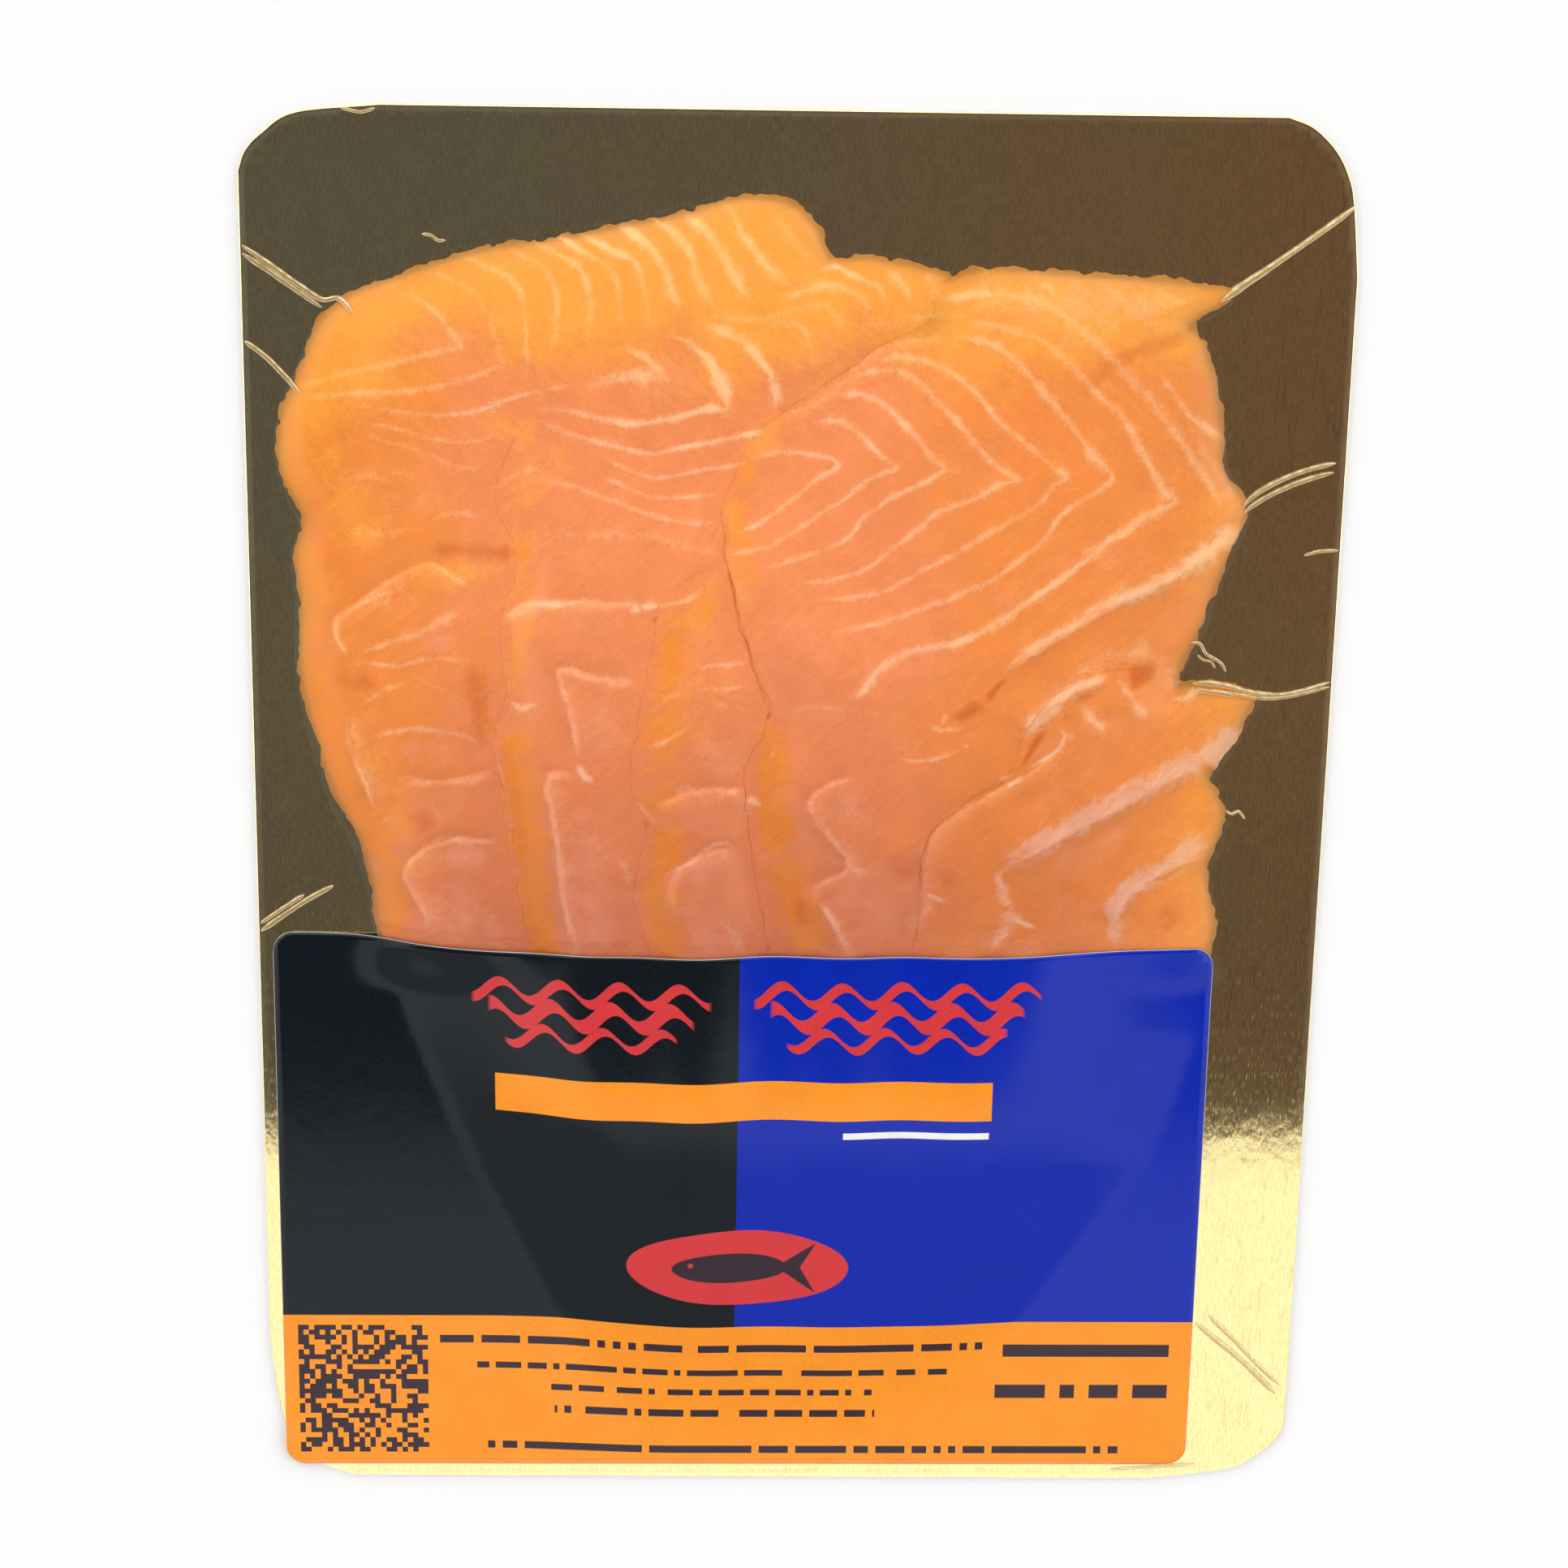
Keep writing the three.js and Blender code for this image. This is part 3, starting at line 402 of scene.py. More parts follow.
# Flakes that are paler and pinker than the flesh round them.
PALE = (
    (2.6, 0.7, ((-13.5, 15.5), (-10.5, 12), (-8, 8.5))),
    (2.4, 0.7, ((-14.5, -6), (-12, -3.8), (-9.5, -2.2))),
    (2.6, 0.6, ((-15, -9.5), (-13, -13), (-11.5, -17))),
    (3.0, 0.7, ((-28, 21.5), (-27, 17), (-26, 12))),
    (3.2, 0.7, ((-30.5, 6), (-29, 0), (-28.5, -6), (-27.5, -12), (-26.5, -17))),
    (2.6, 0.75, ((-50, -2.6), (-46, -2.4), (-42, -2.7))),
    (2.4, 0.5, ((-50.5, -6), (-49.5, -11), (-47, -16))),
    (2.6, 0.6, ((4.5, 6), (8.5, 5), (12, 2.5))),
    (3.2, 0.6, ((6, -7.5), (10, -9), (13.5, -11), (14.5, -16))),
    (2.5, 0.65, ((-56, 13), (-51, 13.5), (-46.5, 12.3))),
    (2.4, 0.7, ((-55, 30.6), (-50, 29), (-46.5, 29.5))),
    (3.0, 0.25, ((-33, 48.5), (-28, 46.8), (-22, 45.3))),
    (3.4, 0.25, ((-34, 40.5), (-28, 40.5), (-21, 40), (-14, 38))),
    (3.0, 0.4, ((-35, 31), (-29, 31), (-23, 31))),
    (3.6, 0.45, ((-5, 33), (0, 31.5), (4, 28), (5, 24))),
    (2.4, 0.4, ((33, 5), (38, 8.5), (44, 12))),
    (2.4, 0.45, ((23, -14), (25, -17))),
    (2.6, 0.4, ((36, -3), (42, -0.5), (48, 2.5))),
    (3.0, 0.4, ((-22, 63.5), (-16, 65.5), (-13, 64))),
    (2.6, 0.35, ((-56, 67.8), (-50, 71), (-47.5, 71.5))),
    (3.0, 0.35, ((38, 44), (45, 41), (50, 42))),
    (3.2, 0.5, ((-59, 48.5), (-53, 49), (-46, 49.5))),
    (3.4, 0.35, ((-58, 39), (-55, 35), (-52, 33))),
    (3.6, 0.4, ((-49, 73), (-44.5, 70.5), (-41, 70))),
    (4.0, 0.55, ((-24, 63), (-19, 64.5), (-14.5, 68))),
    (3.0, 0.45, ((-2, 66), (2, 69.5), (6, 71.5))),
    (3.4, 0.5, ((34, 78), (42, 76.5), (50, 75.5))),
    (3.0, 0.4, ((26, 75.5), (33, 74), (38, 70))),
    (2.6, 0.4, ((33, 12), (40, 17), (47, 20))),
    (2.6, 0.45, ((26, -13.5), (31, -15.5), (37, -15))),
    (3.0, 0.4, ((26, 34), (33, 38), (39, 43))),
    (3.0, 0.35, ((12, 24), (18, 26), (24, 27))),
    (2.0, 0.8, ((29.5, -10), (32.5, -12.4))),
    (3.2, 0.8, ((-49, -4.5), (-47, -9), (-46, -14))),
    (2.0, 0.4, ((54, 20), (60, 19))),
    (3.2, 0.4, ((-66, 31), (-64, 25))),
    (2.6, 0.5, ((-53, -11), (-50, -15))),
)

# Margins browned by the smoke.
SMOKED = (
    (2.4, 0.5, ((-38.2, 36), (-38.8, 30), (-39, 23))),
    (1.6, 0.6, ((-39.5, 41.8), (-36.5, 41.5))),
    (2.4, 0.45, ((-43.5, 34), (-43.5, 28), (-43.4, 20), (-43.2, 14))),
    ((3.2, 2.9), 1.0, ((-38.8, 17), (-38, 6), (-37.2, 0), (-36.4, -6), (-35.6, -12), (-34.8, -19))),
    ((2.6, 3.4), 0.7, ((-15.5, 35), (-17, 29), (-17.5, 25), (-18, 19), (-18.4, 13), (-18.8, 8), (-18, 3))),
    ((2.6, 3.4), 1.0, ((-16, 3.5), (-17.8, -1), (-18.8, -6), (-18.6, -11), (-16.6, -18))),
    (1.8, 0.5, ((-12, 38), (-12.5, 34), (-13, 30))),
    ((2.2, 1.6), 0.55, ((-6, 56), (-8, 51), (-7.6, 44), (-6.2, 36))),
    ((2.6, 4.2), 0.95, ((-3.6, 17.5), (-3, 11), (-2.8, 5), (-2, 0), (-0.2, -5), (1.6, -10), (3, -17))),
    ((2.2, 3.2), 0.8, ((-67, 24), (-64.5, 14), (-61.5, 6), (-58.5, -1), (-57, -8), (-56, -15))),
    (2.5, 0.4, ((-62, 24), (-58, 22.5), (-54, 21))),
    (2.5, 0.5, ((-58, 10), (-55, 4), (-52, 2))),
    (2.2, 0.5, ((-58, -4), (-55.5, -10))),
    (2.2, 0.35, ((40, 68), (42, 70), (45, 71))),
    (2.4, 0.4, ((54, 9), (58, 4), (59, -3))),
    (1.8, 0.35, ((16, 4), (15.5, -3), (15.5, -9))),
)

# Golden margins, where a slice is thin over the one beneath.
GILDED = (
    ((2.6, 4.0), (0.55, 0.5), ((-8, 51), (-5, 57.5), (-1, 62), (4, 66.5), (9, 71), (14, 73.8), (20, 76.3),
        (26, 78))),
    (2.2, 0.55, ((-8.6, 50), (-9.4, 44), (-8.4, 37), (-6.4, 31))),
    (2.4, 0.5, ((-45, 60.5), (-40, 59), (-35, 57))),
    ((4.0, 3.0), 0.45, ((-30, 56), (-35.5, 53.5), (-38.5, 47), (-37.5, 40), (-38, 34), (-38.6, 27),
        (-39, 18))),
    ((5.5, 4.4), 0.4, ((-9, 40), (-13, 34), (-16, 28), (-16.5, 21), (-15, 14))),
    (6.0, 0.3, ((-12, 27), (-11, 18), (-11.5, 9))),
    (4.6, 0.3, ((-20, 71), (-28, 67), (-36, 64), (-44, 62))),
    (4.2, 0.5, ((-66, 57), (-63, 51), (-60, 46), (-57, 41))),
    (3.6, 0.45, ((-62, 17), (-58, 8), (-55, 0), (-53.5, -6))),
)

# Painted shade in creases, under folds and in hollows, and darker spots of the flesh itself.
CREASE_SHADE_AND_SPOTS = (
    (0.6, 0.4, ((-9, 51), (-9.5, 49), (-9.9, 46), (-10, 43), (-10, 40.8))),
    (0.4, 0.6, ((-10, 40.4), (-9.3, 38), (-8.7, 35.5), (-8, 33), (-7.3, 30.5), (-6.6, 28), (-5.9, 25.5),
        (-5.3, 24), (-4.5, 21.5), (-4, 19.6))),
    (0.7, 0.9, ((-4, 18.8), (-3.4, 18.4))),
    (0.7, 0.9, ((-19.9, 32.5), (-19.5, 32.2))),
    (0.8, 0.7, ((-21.5, 2.6), (-20, 2.8))),
    (0.7, 0.5, ((-17, 2.8), (-16.3, 2.2))),
    (0.35, 0.5, ((-19.7, 22), (-17.5, 22))),
    (0.4, 0.35, ((-22.3, 18.5), (-21.5, 18.3))),
    (2.1, 0.7, ((-45, 26), (-44.3, 21), (-43.8, 13))),
    (1.6, 0.7, ((-51, 41.9), (-47, 41.8), (-43, 41.6), (-38.5, 41.5))),
    (2.2, 0.6, ((-65, 23.4), (-61, 23), (-57.5, 22.6))),
    (2.0, 0.6, ((-55, 3.6), (-52.5, 3), (-50, 2))),
    ((1.8, 2.4), 0.55, ((0.5, -7.5), (1.5, -10), (2.5, -13))),
    (2.6, 0.52, ((12, -2.5), (16, -4), (17, -6.5))),
    (1.4, 0.85, ((21.5, 18.2), (24.5, 19.3), (26.5, 21.2))),
    ((1.1, 0.35), 0.85, ((26.5, 20.8), (28, 22.8), (29.7, 24.6))),
    (0.3, 0.6, ((19.3, 13.8), (19.6, 13.8))),
    (1.5, 0.5, ((53, 72.6), (48, 71.3), (44, 69.6), (40.5, 66.8), (38.2, 63.2))),
    (0.8, 0.5, ((20.5, 71.3), (23, 71.2), (26, 71))),
    (1.0, 0.4, ((-5, 78.3), (-2, 78.7), (0.5, 79.3))),
    (2.6, 0.95, ((46.2, 25.6), (48, 25.2), (49.4, 23.6))),
    (0.9, 0.7, ((38.4, 20.4), (40.6, 22), (42.2, 22.9), (44.2, 23.6))),
    (0.9, 0.45, ((37.3, 18.4), (38.8, 19.2))),
    (1.4, 0.35, ((43, 21), (44.8, 18.4))),
    ((0.9, 0.4), 1.0, ((36, 17.2), (34.7, 16.3), (33.3, 13.9), (31.7, 11))),
    (0.9, 0.28, ((58, 10.8), (52, 7.4), (47.5, 4), (42, 1), (38, -1.4))),
    (0.28, 0.5, ((50.5, 37.9), (47.5, 36.5), (44, 34.9), (41, 33.2))),
    (1.5, 0.35, ((17.8, 0), (18, -3), (18.2, -5.5))),
    (2.4, 0.42, ((20, -3.5), (24, -7))),
    (3.0, 0.42, ((37, -5), (43, -8))),
    (2.2, 0.5, ((52, -9.5), (56, -11.5))),
    (0.6, 0.5, ((49, 48.1), (50.5, 47.8))),
)

# Rims of folds and flakes in a slice's own face: (rise, how far it fades, points). The face is
# raised on the left of the line as it runs. The same lines set the painted light on each lip and
# the painted shade in the hollow before it.
FOLDS = (
    (0.25, 5.0, ((20, 72), (14, 71.3), (9, 69.3), (5, 65.5), (1, 62.5), (-3.5, 60.8))),
    (0.7, 4.0, ((32.5, 16), (34, 18.8), (38, 21.7), (43.8, 24.6))),
    (0.8, 5.0, ((31, -4), (36, -0.4), (41, 2.4), (46, 5.2), (51, 8.3), (57, 11.5))),
    (0.45, 4.0, ((46.6, -12), (47.6, -8), (50, -6), (55, -3.2), (59, -1.8))),
    (0.5, 4.0, ((28.8, 24), (33, 27.4), (39, 31.4), (45, 35.2), (51, 38), (58, 43))),
    (0.35, 4.0, ((-62, 19), (-61.3, 11.5), (-58.9, 4.5))),
    (0.35, 5.0, ((-46, 37), (-50.8, 40), (-60.5, 34.5), (-64, 31), (-61.9, 25.8))),
    (0.35, 5.0, ((-41, 0), (-47.5, 0.5), (-52.5, -1.5), (-55, -5), (-52, -11.5), (-49.8, -15))),
    (0.35, 5.0, ((-41.5, 10.5), (-50, 8.8), (-56, 9))),
    (0.3, 5.0, ((-24, 34.4), (-36, 34.4), (-41, 31.5))),
    (0.35, 4.0, ((-22, 22.6), (-33.3, 25), (-31.6, 19), (-30.5, 12))),
    (0.4, 4.0, ((-30, 9.8), (-34.5, 10), (-33.4, -1.5), (-32, -12.5), (-30.3, -17.5))),
    (0.35, 4.0, ((-7, 8), (-14, 7.8), (-19.5, 5.5))),
    (0.35, 4.0, ((-8, -0.5), (-13, -1.8), (-17.3, -5.8), (-17, -12))),
    (0.4, 4.0, ((10, 9.8), (4.8, 8.8), (2, 5.5), (5, 0.8), (7.7, -3.5), (2.8, -6.8), (6, -12.8),
        (8.5, -17.5))),
    (0.3, 4.0, ((38.7, 16), (35, 12.2), (30, 9), (20.3, 2.2), (18.8, -3), (18.4, -8), (18, -16))),
)

# Film gathered into pleats: half width, height, points on the card.
PLEATS = (
    ((0.58, 0.36), 0.8, ((57.3, 76.6), (60.3, 78.8), (63.9, 81.3), (68, 84.3), (71.8, 87.1), (75.4, 89.9))),
    (0.36, 0.5, ((-75.9, 82.6), (-72.5, 80.2), (-68.5, 77.4), (-65, 75.3), (-63, 75.6), (-60.8, 73.6))),
    (0.34, 0.45, ((-75.9, 81.5), (-72, 78.9), (-68, 76.1), (-65.2, 74.2))),
    (0.34, 0.4, ((-75.9, 69.6), (-73, 67.4), (-70.3, 64.6), (-68.2, 62.4))),
    (0.36, 0.6, ((61.9, 48.2), (64.5, 50.4), (68, 52.3), (71.5, 53.6), (74.8, 54.4))),
    (0.34, 0.5, ((62.1, 47.3), (65, 49.3), (68.5, 51.1), (72, 52.4), (74.6, 53.1))),
    ((0.42, 0.3), 0.5, ((56.2, 22.6), (58.5, 22.7), (61.5, 22.3), (64.5, 21.5), (68, 21), (71.5, 21.5),
        (75.9, 23))),
    (0.35, 0.3, ((56.8, 21.7), (58.6, 21.5), (60.4, 21.4), (62.2, 21))),
    (0.24, 0.4, ((60, 21.6), (63, 21.2), (66.5, 20.5), (70, 20.8), (75.9, 22.3))),
    (0.2, 0.35, ((55.6, 28.7), (57.1, 28.4), (57.9, 27), (59.1, 26.3), (60.4, 25.4), (61, 24.2))),
    (0.17, 0.3, ((56.8, 26.8), (57.7, 26), (58.8, 25.8), (59.4, 24.8))),
    (0.18, 0.3, ((61.9, 4), (62.9, 3.3), (63.8, 3.8), (64.9, 2.6))),
    (0.36, 0.4, ((-75.9, -15.3), (-72.5, -12.8), (-69, -10.4), (-65.3, -8.3))),
    (0.28, 0.35, ((-75.9, -14.1), (-72.5, -11.7), (-69.5, -9.7))),
    (0.45, 0.5, ((61.8, -76.3), (65, -79), (69, -82.4), (74.6, -88))),
    (0.36, 0.4, ((63.6, -75), (67.5, -78.8), (71, -82.6), (75.2, -86.6))),
    (0.2, 0.25, ((-51.6, 84.4), (-50.3, 84.2), (-49.4, 83.5), (-48.4, 83.6))),
    # two tiny beads of gathered film over the flesh, drawn as painted glints
    (0.16, 0.15, ((-42.6, 62), (-42, 61.8), (-41.6, 62))),
    (0.13, 0.12, ((-42.3, 60.8), (-41.9, 60.6), (-41.6, 60.8))),
    (0.22, 0.3, ((71, 41.2), (73, 41.8), (75.9, 42))),
    (0.22, 0.3, ((-62.3, 101.1), (-59.5, 100.5), (-57.6, 101.1))),
    (0.25, 0.3, ((50, -100.6), (57, -100.1), (63, -99.7))),
)


# ---- Curves and distances ----

# How many pairs of a point and a stretch of line are worked out at a time.
PAIRS_AT_ONCE = 2000000


def ease(value, low, high):
    """0 at low, 1 at high, and a smooth step between them."""
    share = np.clip((value - low) / (high - low), 0, 1)
    return share * share * (3 - 2 * share)


def pair(value):
    """A pair as it is, and a single number twice."""
    return value if isinstance(value, tuple) else (value, value)


def between(ends, share):
    """A value that runs from the first of a pair to the second."""
    return ends[0] + (ends[1] - ends[0]) * share


def smooth_line(points, closed=False, step=0.8, power=0.5):
    """Points close together along a Catmull-Rom curve: power 0.5 is the centripetal kind, 0 the uniform."""
    given = np.array(points, float)
    if closed:
        around = np.vstack((given[-1:], given, given[:2]))
        count = len(given)
    else:
        ends = (2 * given[0] - given[1], 2 * given[-1] - given[-2])
        around = np.vstack((ends[0][None], given, ends[1][None]))
        count = len(given) - 1
    found = []
    for i in range(count):
        a, b, c, d = around[i : i + 4]
        gaps = [max(np.linalg.norm(q - p), 1e-6) ** power for p, q in ((a, b), (b, c), (c, d))]
        leave = (b - a) / gaps[0] - (c - a) / (gaps[0] + gaps[1]) + (c - b) / gaps[1]
        reach = (c - b) / gaps[1] - (d - b) / (gaps[1] + gaps[2]) + (d - c) / gaps[2]
        pieces = max(2, int(np.linalg.norm(c - b) / step))
        t = (np.arange(pieces) / pieces)[:, None]
        found.append(
            (2 * t**3 - 3 * t**2 + 1) * b
            + (t**3 - 2 * t**2 + t) * leave * gaps[1]
            + (-2 * t**3 + 3 * t**2) * c
            + (t**3 - t**2) * reach * gaps[1]
        )
    if not closed:
        found.append(given[-1:])
    return np.vstack(found)


def to_segments(x, y, line, closed):
    """For each point: its distance to the line, the share of the line's length passed, and its side."""
    a = line if closed else line[:-1]
    edge = (np.roll(line, -1, 0) if closed else line[1:]) - a
    long2 = (edge**2).sum(1)
    passed = np.concatenate(([0], np.cumsum(np.sqrt(long2))))
    distance, share, side = np.empty(len(x)), np.empty(len(x)), np.empty(len(x))
    for rows in np.array_split(np.arange(len(x)), max(1, len(x) * len(a) // PAIRS_AT_ONCE)):
        dx = x[rows][:, None] - a[:, 0]
        dy = y[rows][:, None] - a[:, 1]
        t = np.clip((dx * edge[:, 0] + dy * edge[:, 1]) / long2, 0, 1)
        off = (dx - t * edge[:, 0]) ** 2 + (dy - t * edge[:, 1]) ** 2
        nearest = off.argmin(1)
        here = np.arange(len(rows))
        distance[rows] = np.sqrt(off[here, nearest])
        t = t[here, nearest]
        share[rows] = (passed[nearest] + t * np.sqrt(long2[nearest])) / passed[-1]
        side[rows] = np.sign(edge[nearest, 0] * dy[here, nearest] - edge[nearest, 1] * dx[here, nearest])
    return distance, share, side


def is_inside(x, y, outline):
    a, b = outline, np.roll(outline, -1, 0)
    rise = np.where(a[:, 1] == b[:, 1], 1e-9, b[:, 1] - a[:, 1])
    found = np.empty(len(x), bool)
    for rows in np.array_split(np.arange(len(x)), max(1, len(x) * len(a) // PAIRS_AT_ONCE)):
        px, py = x[rows][:, None], y[rows][:, None]
        crosses = (a[:, 1] > py) != (b[:, 1] > py)
        at = a[:, 0] + (py - a[:, 1]) / rise * (b[:, 0] - a[:, 0])
        found[rows] = (crosses & (px < at)).sum(1) % 2 == 1
    return found


def depth_inside(x, y, outline):
    """Distance to a closed outline, positive inside it."""
    flat_x, flat_y = np.ravel(x), np.ravel(y)
    distance = to_segments(flat_x, flat_y, outline, True)[0]
    return np.where(is_inside(flat_x, flat_y, outline), distance, -distance).reshape(np.shape(x))


def nearest_on(points, outline):
    """The nearest point of a closed outline to each point, and the outline's outward normal there."""
    a = outline
    edge = np.roll(outline, -1, 0) - a
    away = points[:, None, :] - a
    t = np.clip((away * edge).sum(-1) / (edge**2).sum(1), 0, 1)
    off = ((away - t[..., None] * edge) ** 2).sum(-1)
    best = off.argmin(1)
    here = np.arange(len(points))
    foot = a[best] + t[here, best][:, None] * edge[best]
    turn = np.sign((a[:, 0] * np.roll(a, -1, 0)[:, 1] - np.roll(a, -1, 0)[:, 0] * a[:, 1]).sum())
    normal = np.stack((edge[best, 1], -edge[best, 0]), 1) * turn
    return foot, normal / np.linalg.norm(normal, axis=1)[:, None]


def card_outline(inset=0.0):
    """The card's hand-trimmed outline, drawn in by inset."""
    corners = [smooth_line(corner, power=0.0, step=0.5) for corner in CARD_CORNERS]
    line = np.vstack(corners)
    return line * (1 - inset / (np.array(CARD_SIZE) / 2))


def label_outline():
    r = LABEL["corner"]
    found = []
    for cx, cy, start in (
        (LABEL["right"] - r, LABEL["top"] - r, 90),
        (LABEL["right"] - r, LABEL["bottom"] + r, 0),
        (LABEL["left"] + r, LABEL["bottom"] + r, -90),
        (LABEL["left"] + r, LABEL["top"] - r, 180),
    ):
        for step in range(9):
            a = math.radians(start - 90 * step / 8)
            found.append((cx + r * math.cos(a), cy + r * math.sin(a)))
    along = np.linspace(LABEL["left"] + r, LABEL["right"] - r, 24)[1:-1]
    found = np.array(found + [(x, LABEL["top"]) for x in along])
    depth, none_at, all_at = LABEL_DIP
    drawn_in = depth * ease(found[:, 0], none_at, all_at)
    found[:, 1] -= np.where(found[:, 1] > LABEL["top"] - r - 1, drawn_in, 0)
    return found


# ---- Wavy noise for outlines and relief ----


def ripple(x, y, size, seed):
    """Smooth noise from -1 to 1 with bumps about size across."""
    rng = np.random.default_rng(seed)
    table = rng.uniform(-1, 1, (64, 64))
    u, v = x / size, y / size
    i, j = np.floor(u).astype(int), np.floor(v).astype(int)
    fu, fv = ease(u - i, 0, 1), ease(v - j, 0, 1)
    pick = lambda a, b: table[(i + a) % 64, (j + b) % 64]
    low = pick(0, 0) * (1 - fu) + pick(1, 0) * fu
    high = pick(0, 1) * (1 - fu) + pick(1, 1) * fu
    return low * (1 - fv) + high * fv


# ---- Height fields on a common raster ----


class Raster:
    """A grid of heights over the card, in millimetres."""

    step = 0.75
    low = np.array((-81.0, -106.5))
    size = (217, 285)
    x, y = np.meshgrid(
        low[0] + step * np.arange(size[0]), low[1] + step * np.arange(size[1]), indexing="ij"
    )

    @classmethod
    def read(cls, field, x, y):
        u = np.clip((x - cls.low[0]) / cls.step, 0, cls.size[0] - 1.001)
        v = np.clip((y - cls.low[1]) / cls.step, 0, cls.size[1] - 1.001)
        i, j = u.astype(int), v.astype(int)
        fu, fv = u - i, v - j
        near = field[i, j] * (1 - fu) + field[i + 1, j] * fu
        far = field[i, j + 1] * (1 - fu) + field[i + 1, j + 1] * fu
        return near * (1 - fv) + far * fv


def draped(pile, sag):
    """A skin stretched over the pile and pressed down: where it touches it follows, elsewhere it sags."""
    skin = pile.copy()
    press = sag * Raster.step**2 / 4
    for _ in range(DRAPE_ROUNDS):
        wide = np.pad(skin, 1, mode="edge")
        mean = (wide[2:, 1:-1] + wide[:-2, 1:-1] + wide[1:-1, 2:] + wide[1:-1, :-2]) / 4
        skin = np.maximum(pile, mean - press)
    return skin


def drawn_place(x, y, z):
    """Where a point of the pack lies on the sheet that the strokes are drawn on."""
    share = (SIGHT[2] - DRAWN_AT) / (SIGHT[2] - z)
    return SIGHT[0] + (x - SIGHT[0]) * share, SIGHT[1] + (y - SIGHT[1]) * share


def near_line(x, y, line, reach):
    """Which points lie in the line's box, widened by reach."""
    low, high = line.min(0) - reach, line.max(0) + reach
    return np.flatnonzero((x > low[0]) & (x < high[0]) & (y > low[1]) & (y < high[1]))


def stroke_field(x, y, strokes, firm=2, widen=1.0):
    """The strongest stroke at each point. firm is the power that sets how sharply a stroke ends."""
    field = np.zeros(len(x))
    for number, (width, strength, points) in enumerate(strokes):
        halves, powers = [value * widen for value in pair(width)], pair(strength)
        line = smooth_line(points, step=0.7)
        near = near_line(x, y, line, 3.6 * max(halves))
        if not len(near):
            continue
        distance, share, _ = to_segments(x[near], y[near], line, False)
        length = np.linalg.norm(np.diff(line, axis=0), axis=1).sum()
        passed = share * length + 40 * number
        to_end = np.minimum(share, 1 - share) * length
        fading = min(2.8, 0.35 * length)
        half = between(halves, share)
        half = half * (0.95 + 0.3 * ripple(passed, passed * 0, 1.6, 22))
        half = half * (0.6 + 0.4 * ease(to_end, 0, fading))
        power = between(powers, share)
        power = power * (0.9 + 0.25 * ripple(passed, passed * 0, 3.2, 21))
        power = power * ease(to_end, -0.5 * fading, fading)
        distance = distance + 0.3 * half * ripple(x[near], y[near], 0.8, 23)
        core = np.exp(-((np.abs(distance) / (0.88 * half)) ** firm))
        halo = np.exp(-((distance / (2.4 * half)) ** 2))
        shape = 0.86 * core + 0.14 * halo
        field[near] = np.maximum(field[near], power * shape)
    return field


def fold_relief(x, y):
    """How much the folds and flakes raise a slice's face, from the drawn place of each point."""
    raised = np.zeros(len(x))
    for rise, fading, points in FOLDS:
        line = smooth_line(points, step=1.0)
        near = near_line(x, y, line, fading * 3)
        if not len(near):
            continue
        distance, share, side = to_segments(x[near], y[near], line, False)
        signed = distance * side
        shape = ease(signed, -0.25, 0.6) * np.exp(-np.maximum(signed, 0) / fading)
        ends = ease(np.minimum(share, 1 - share), 0, 0.12)
        raised[near] = np.maximum(raised[near], rise * shape * ends)
    return raised


def fold_lips(x, y):
    """Painted light on a flake's lip (up to 1) and painted shade in the hollow before it (down to -1)."""
    light, shaded = np.zeros(len(x)), np.zeros(len(x))
    for rise, _, points in FOLDS:
        line = smooth_line(points, step=1.0)
        near = near_line(x, y, line, 7)
        if not len(near):
            continue
        distance, share, side = to_segments(x[near], y[near], line, False)
        signed = distance * side + 0.25 * ripple(x[near], y[near], 1.3, 31)
        ends = ease(np.minimum(share, 1 - share), 0, 0.15)
        power = (0.5 + rise) * ends * (0.8 + 0.3 * ripple(x[near], y[near], 4.0, 32))
        lit = power * ease(signed, -0.15, 0.2) * np.exp(-np.maximum(signed, 0) / 1.5)
        dim = power * ease(-signed, -0.1, 0.3) * np.exp(-np.maximum(-signed, 0) / 1.3)
        light[near] = np.maximum(light[near], lit)
        shaded[near] = np.maximum(shaded[near], dim)
    return light - shaded


def surface_relief(x, y, z):
    """Fine swell of a slice's face: folds and gentle waves."""
    px, py = drawn_place(x, y, z)
    waves = 0.16 * ripple(px, py, 13, 3) + 0.07 * ripple(px, py, 5.5, 4)
    return fold_relief(px, py) + waves


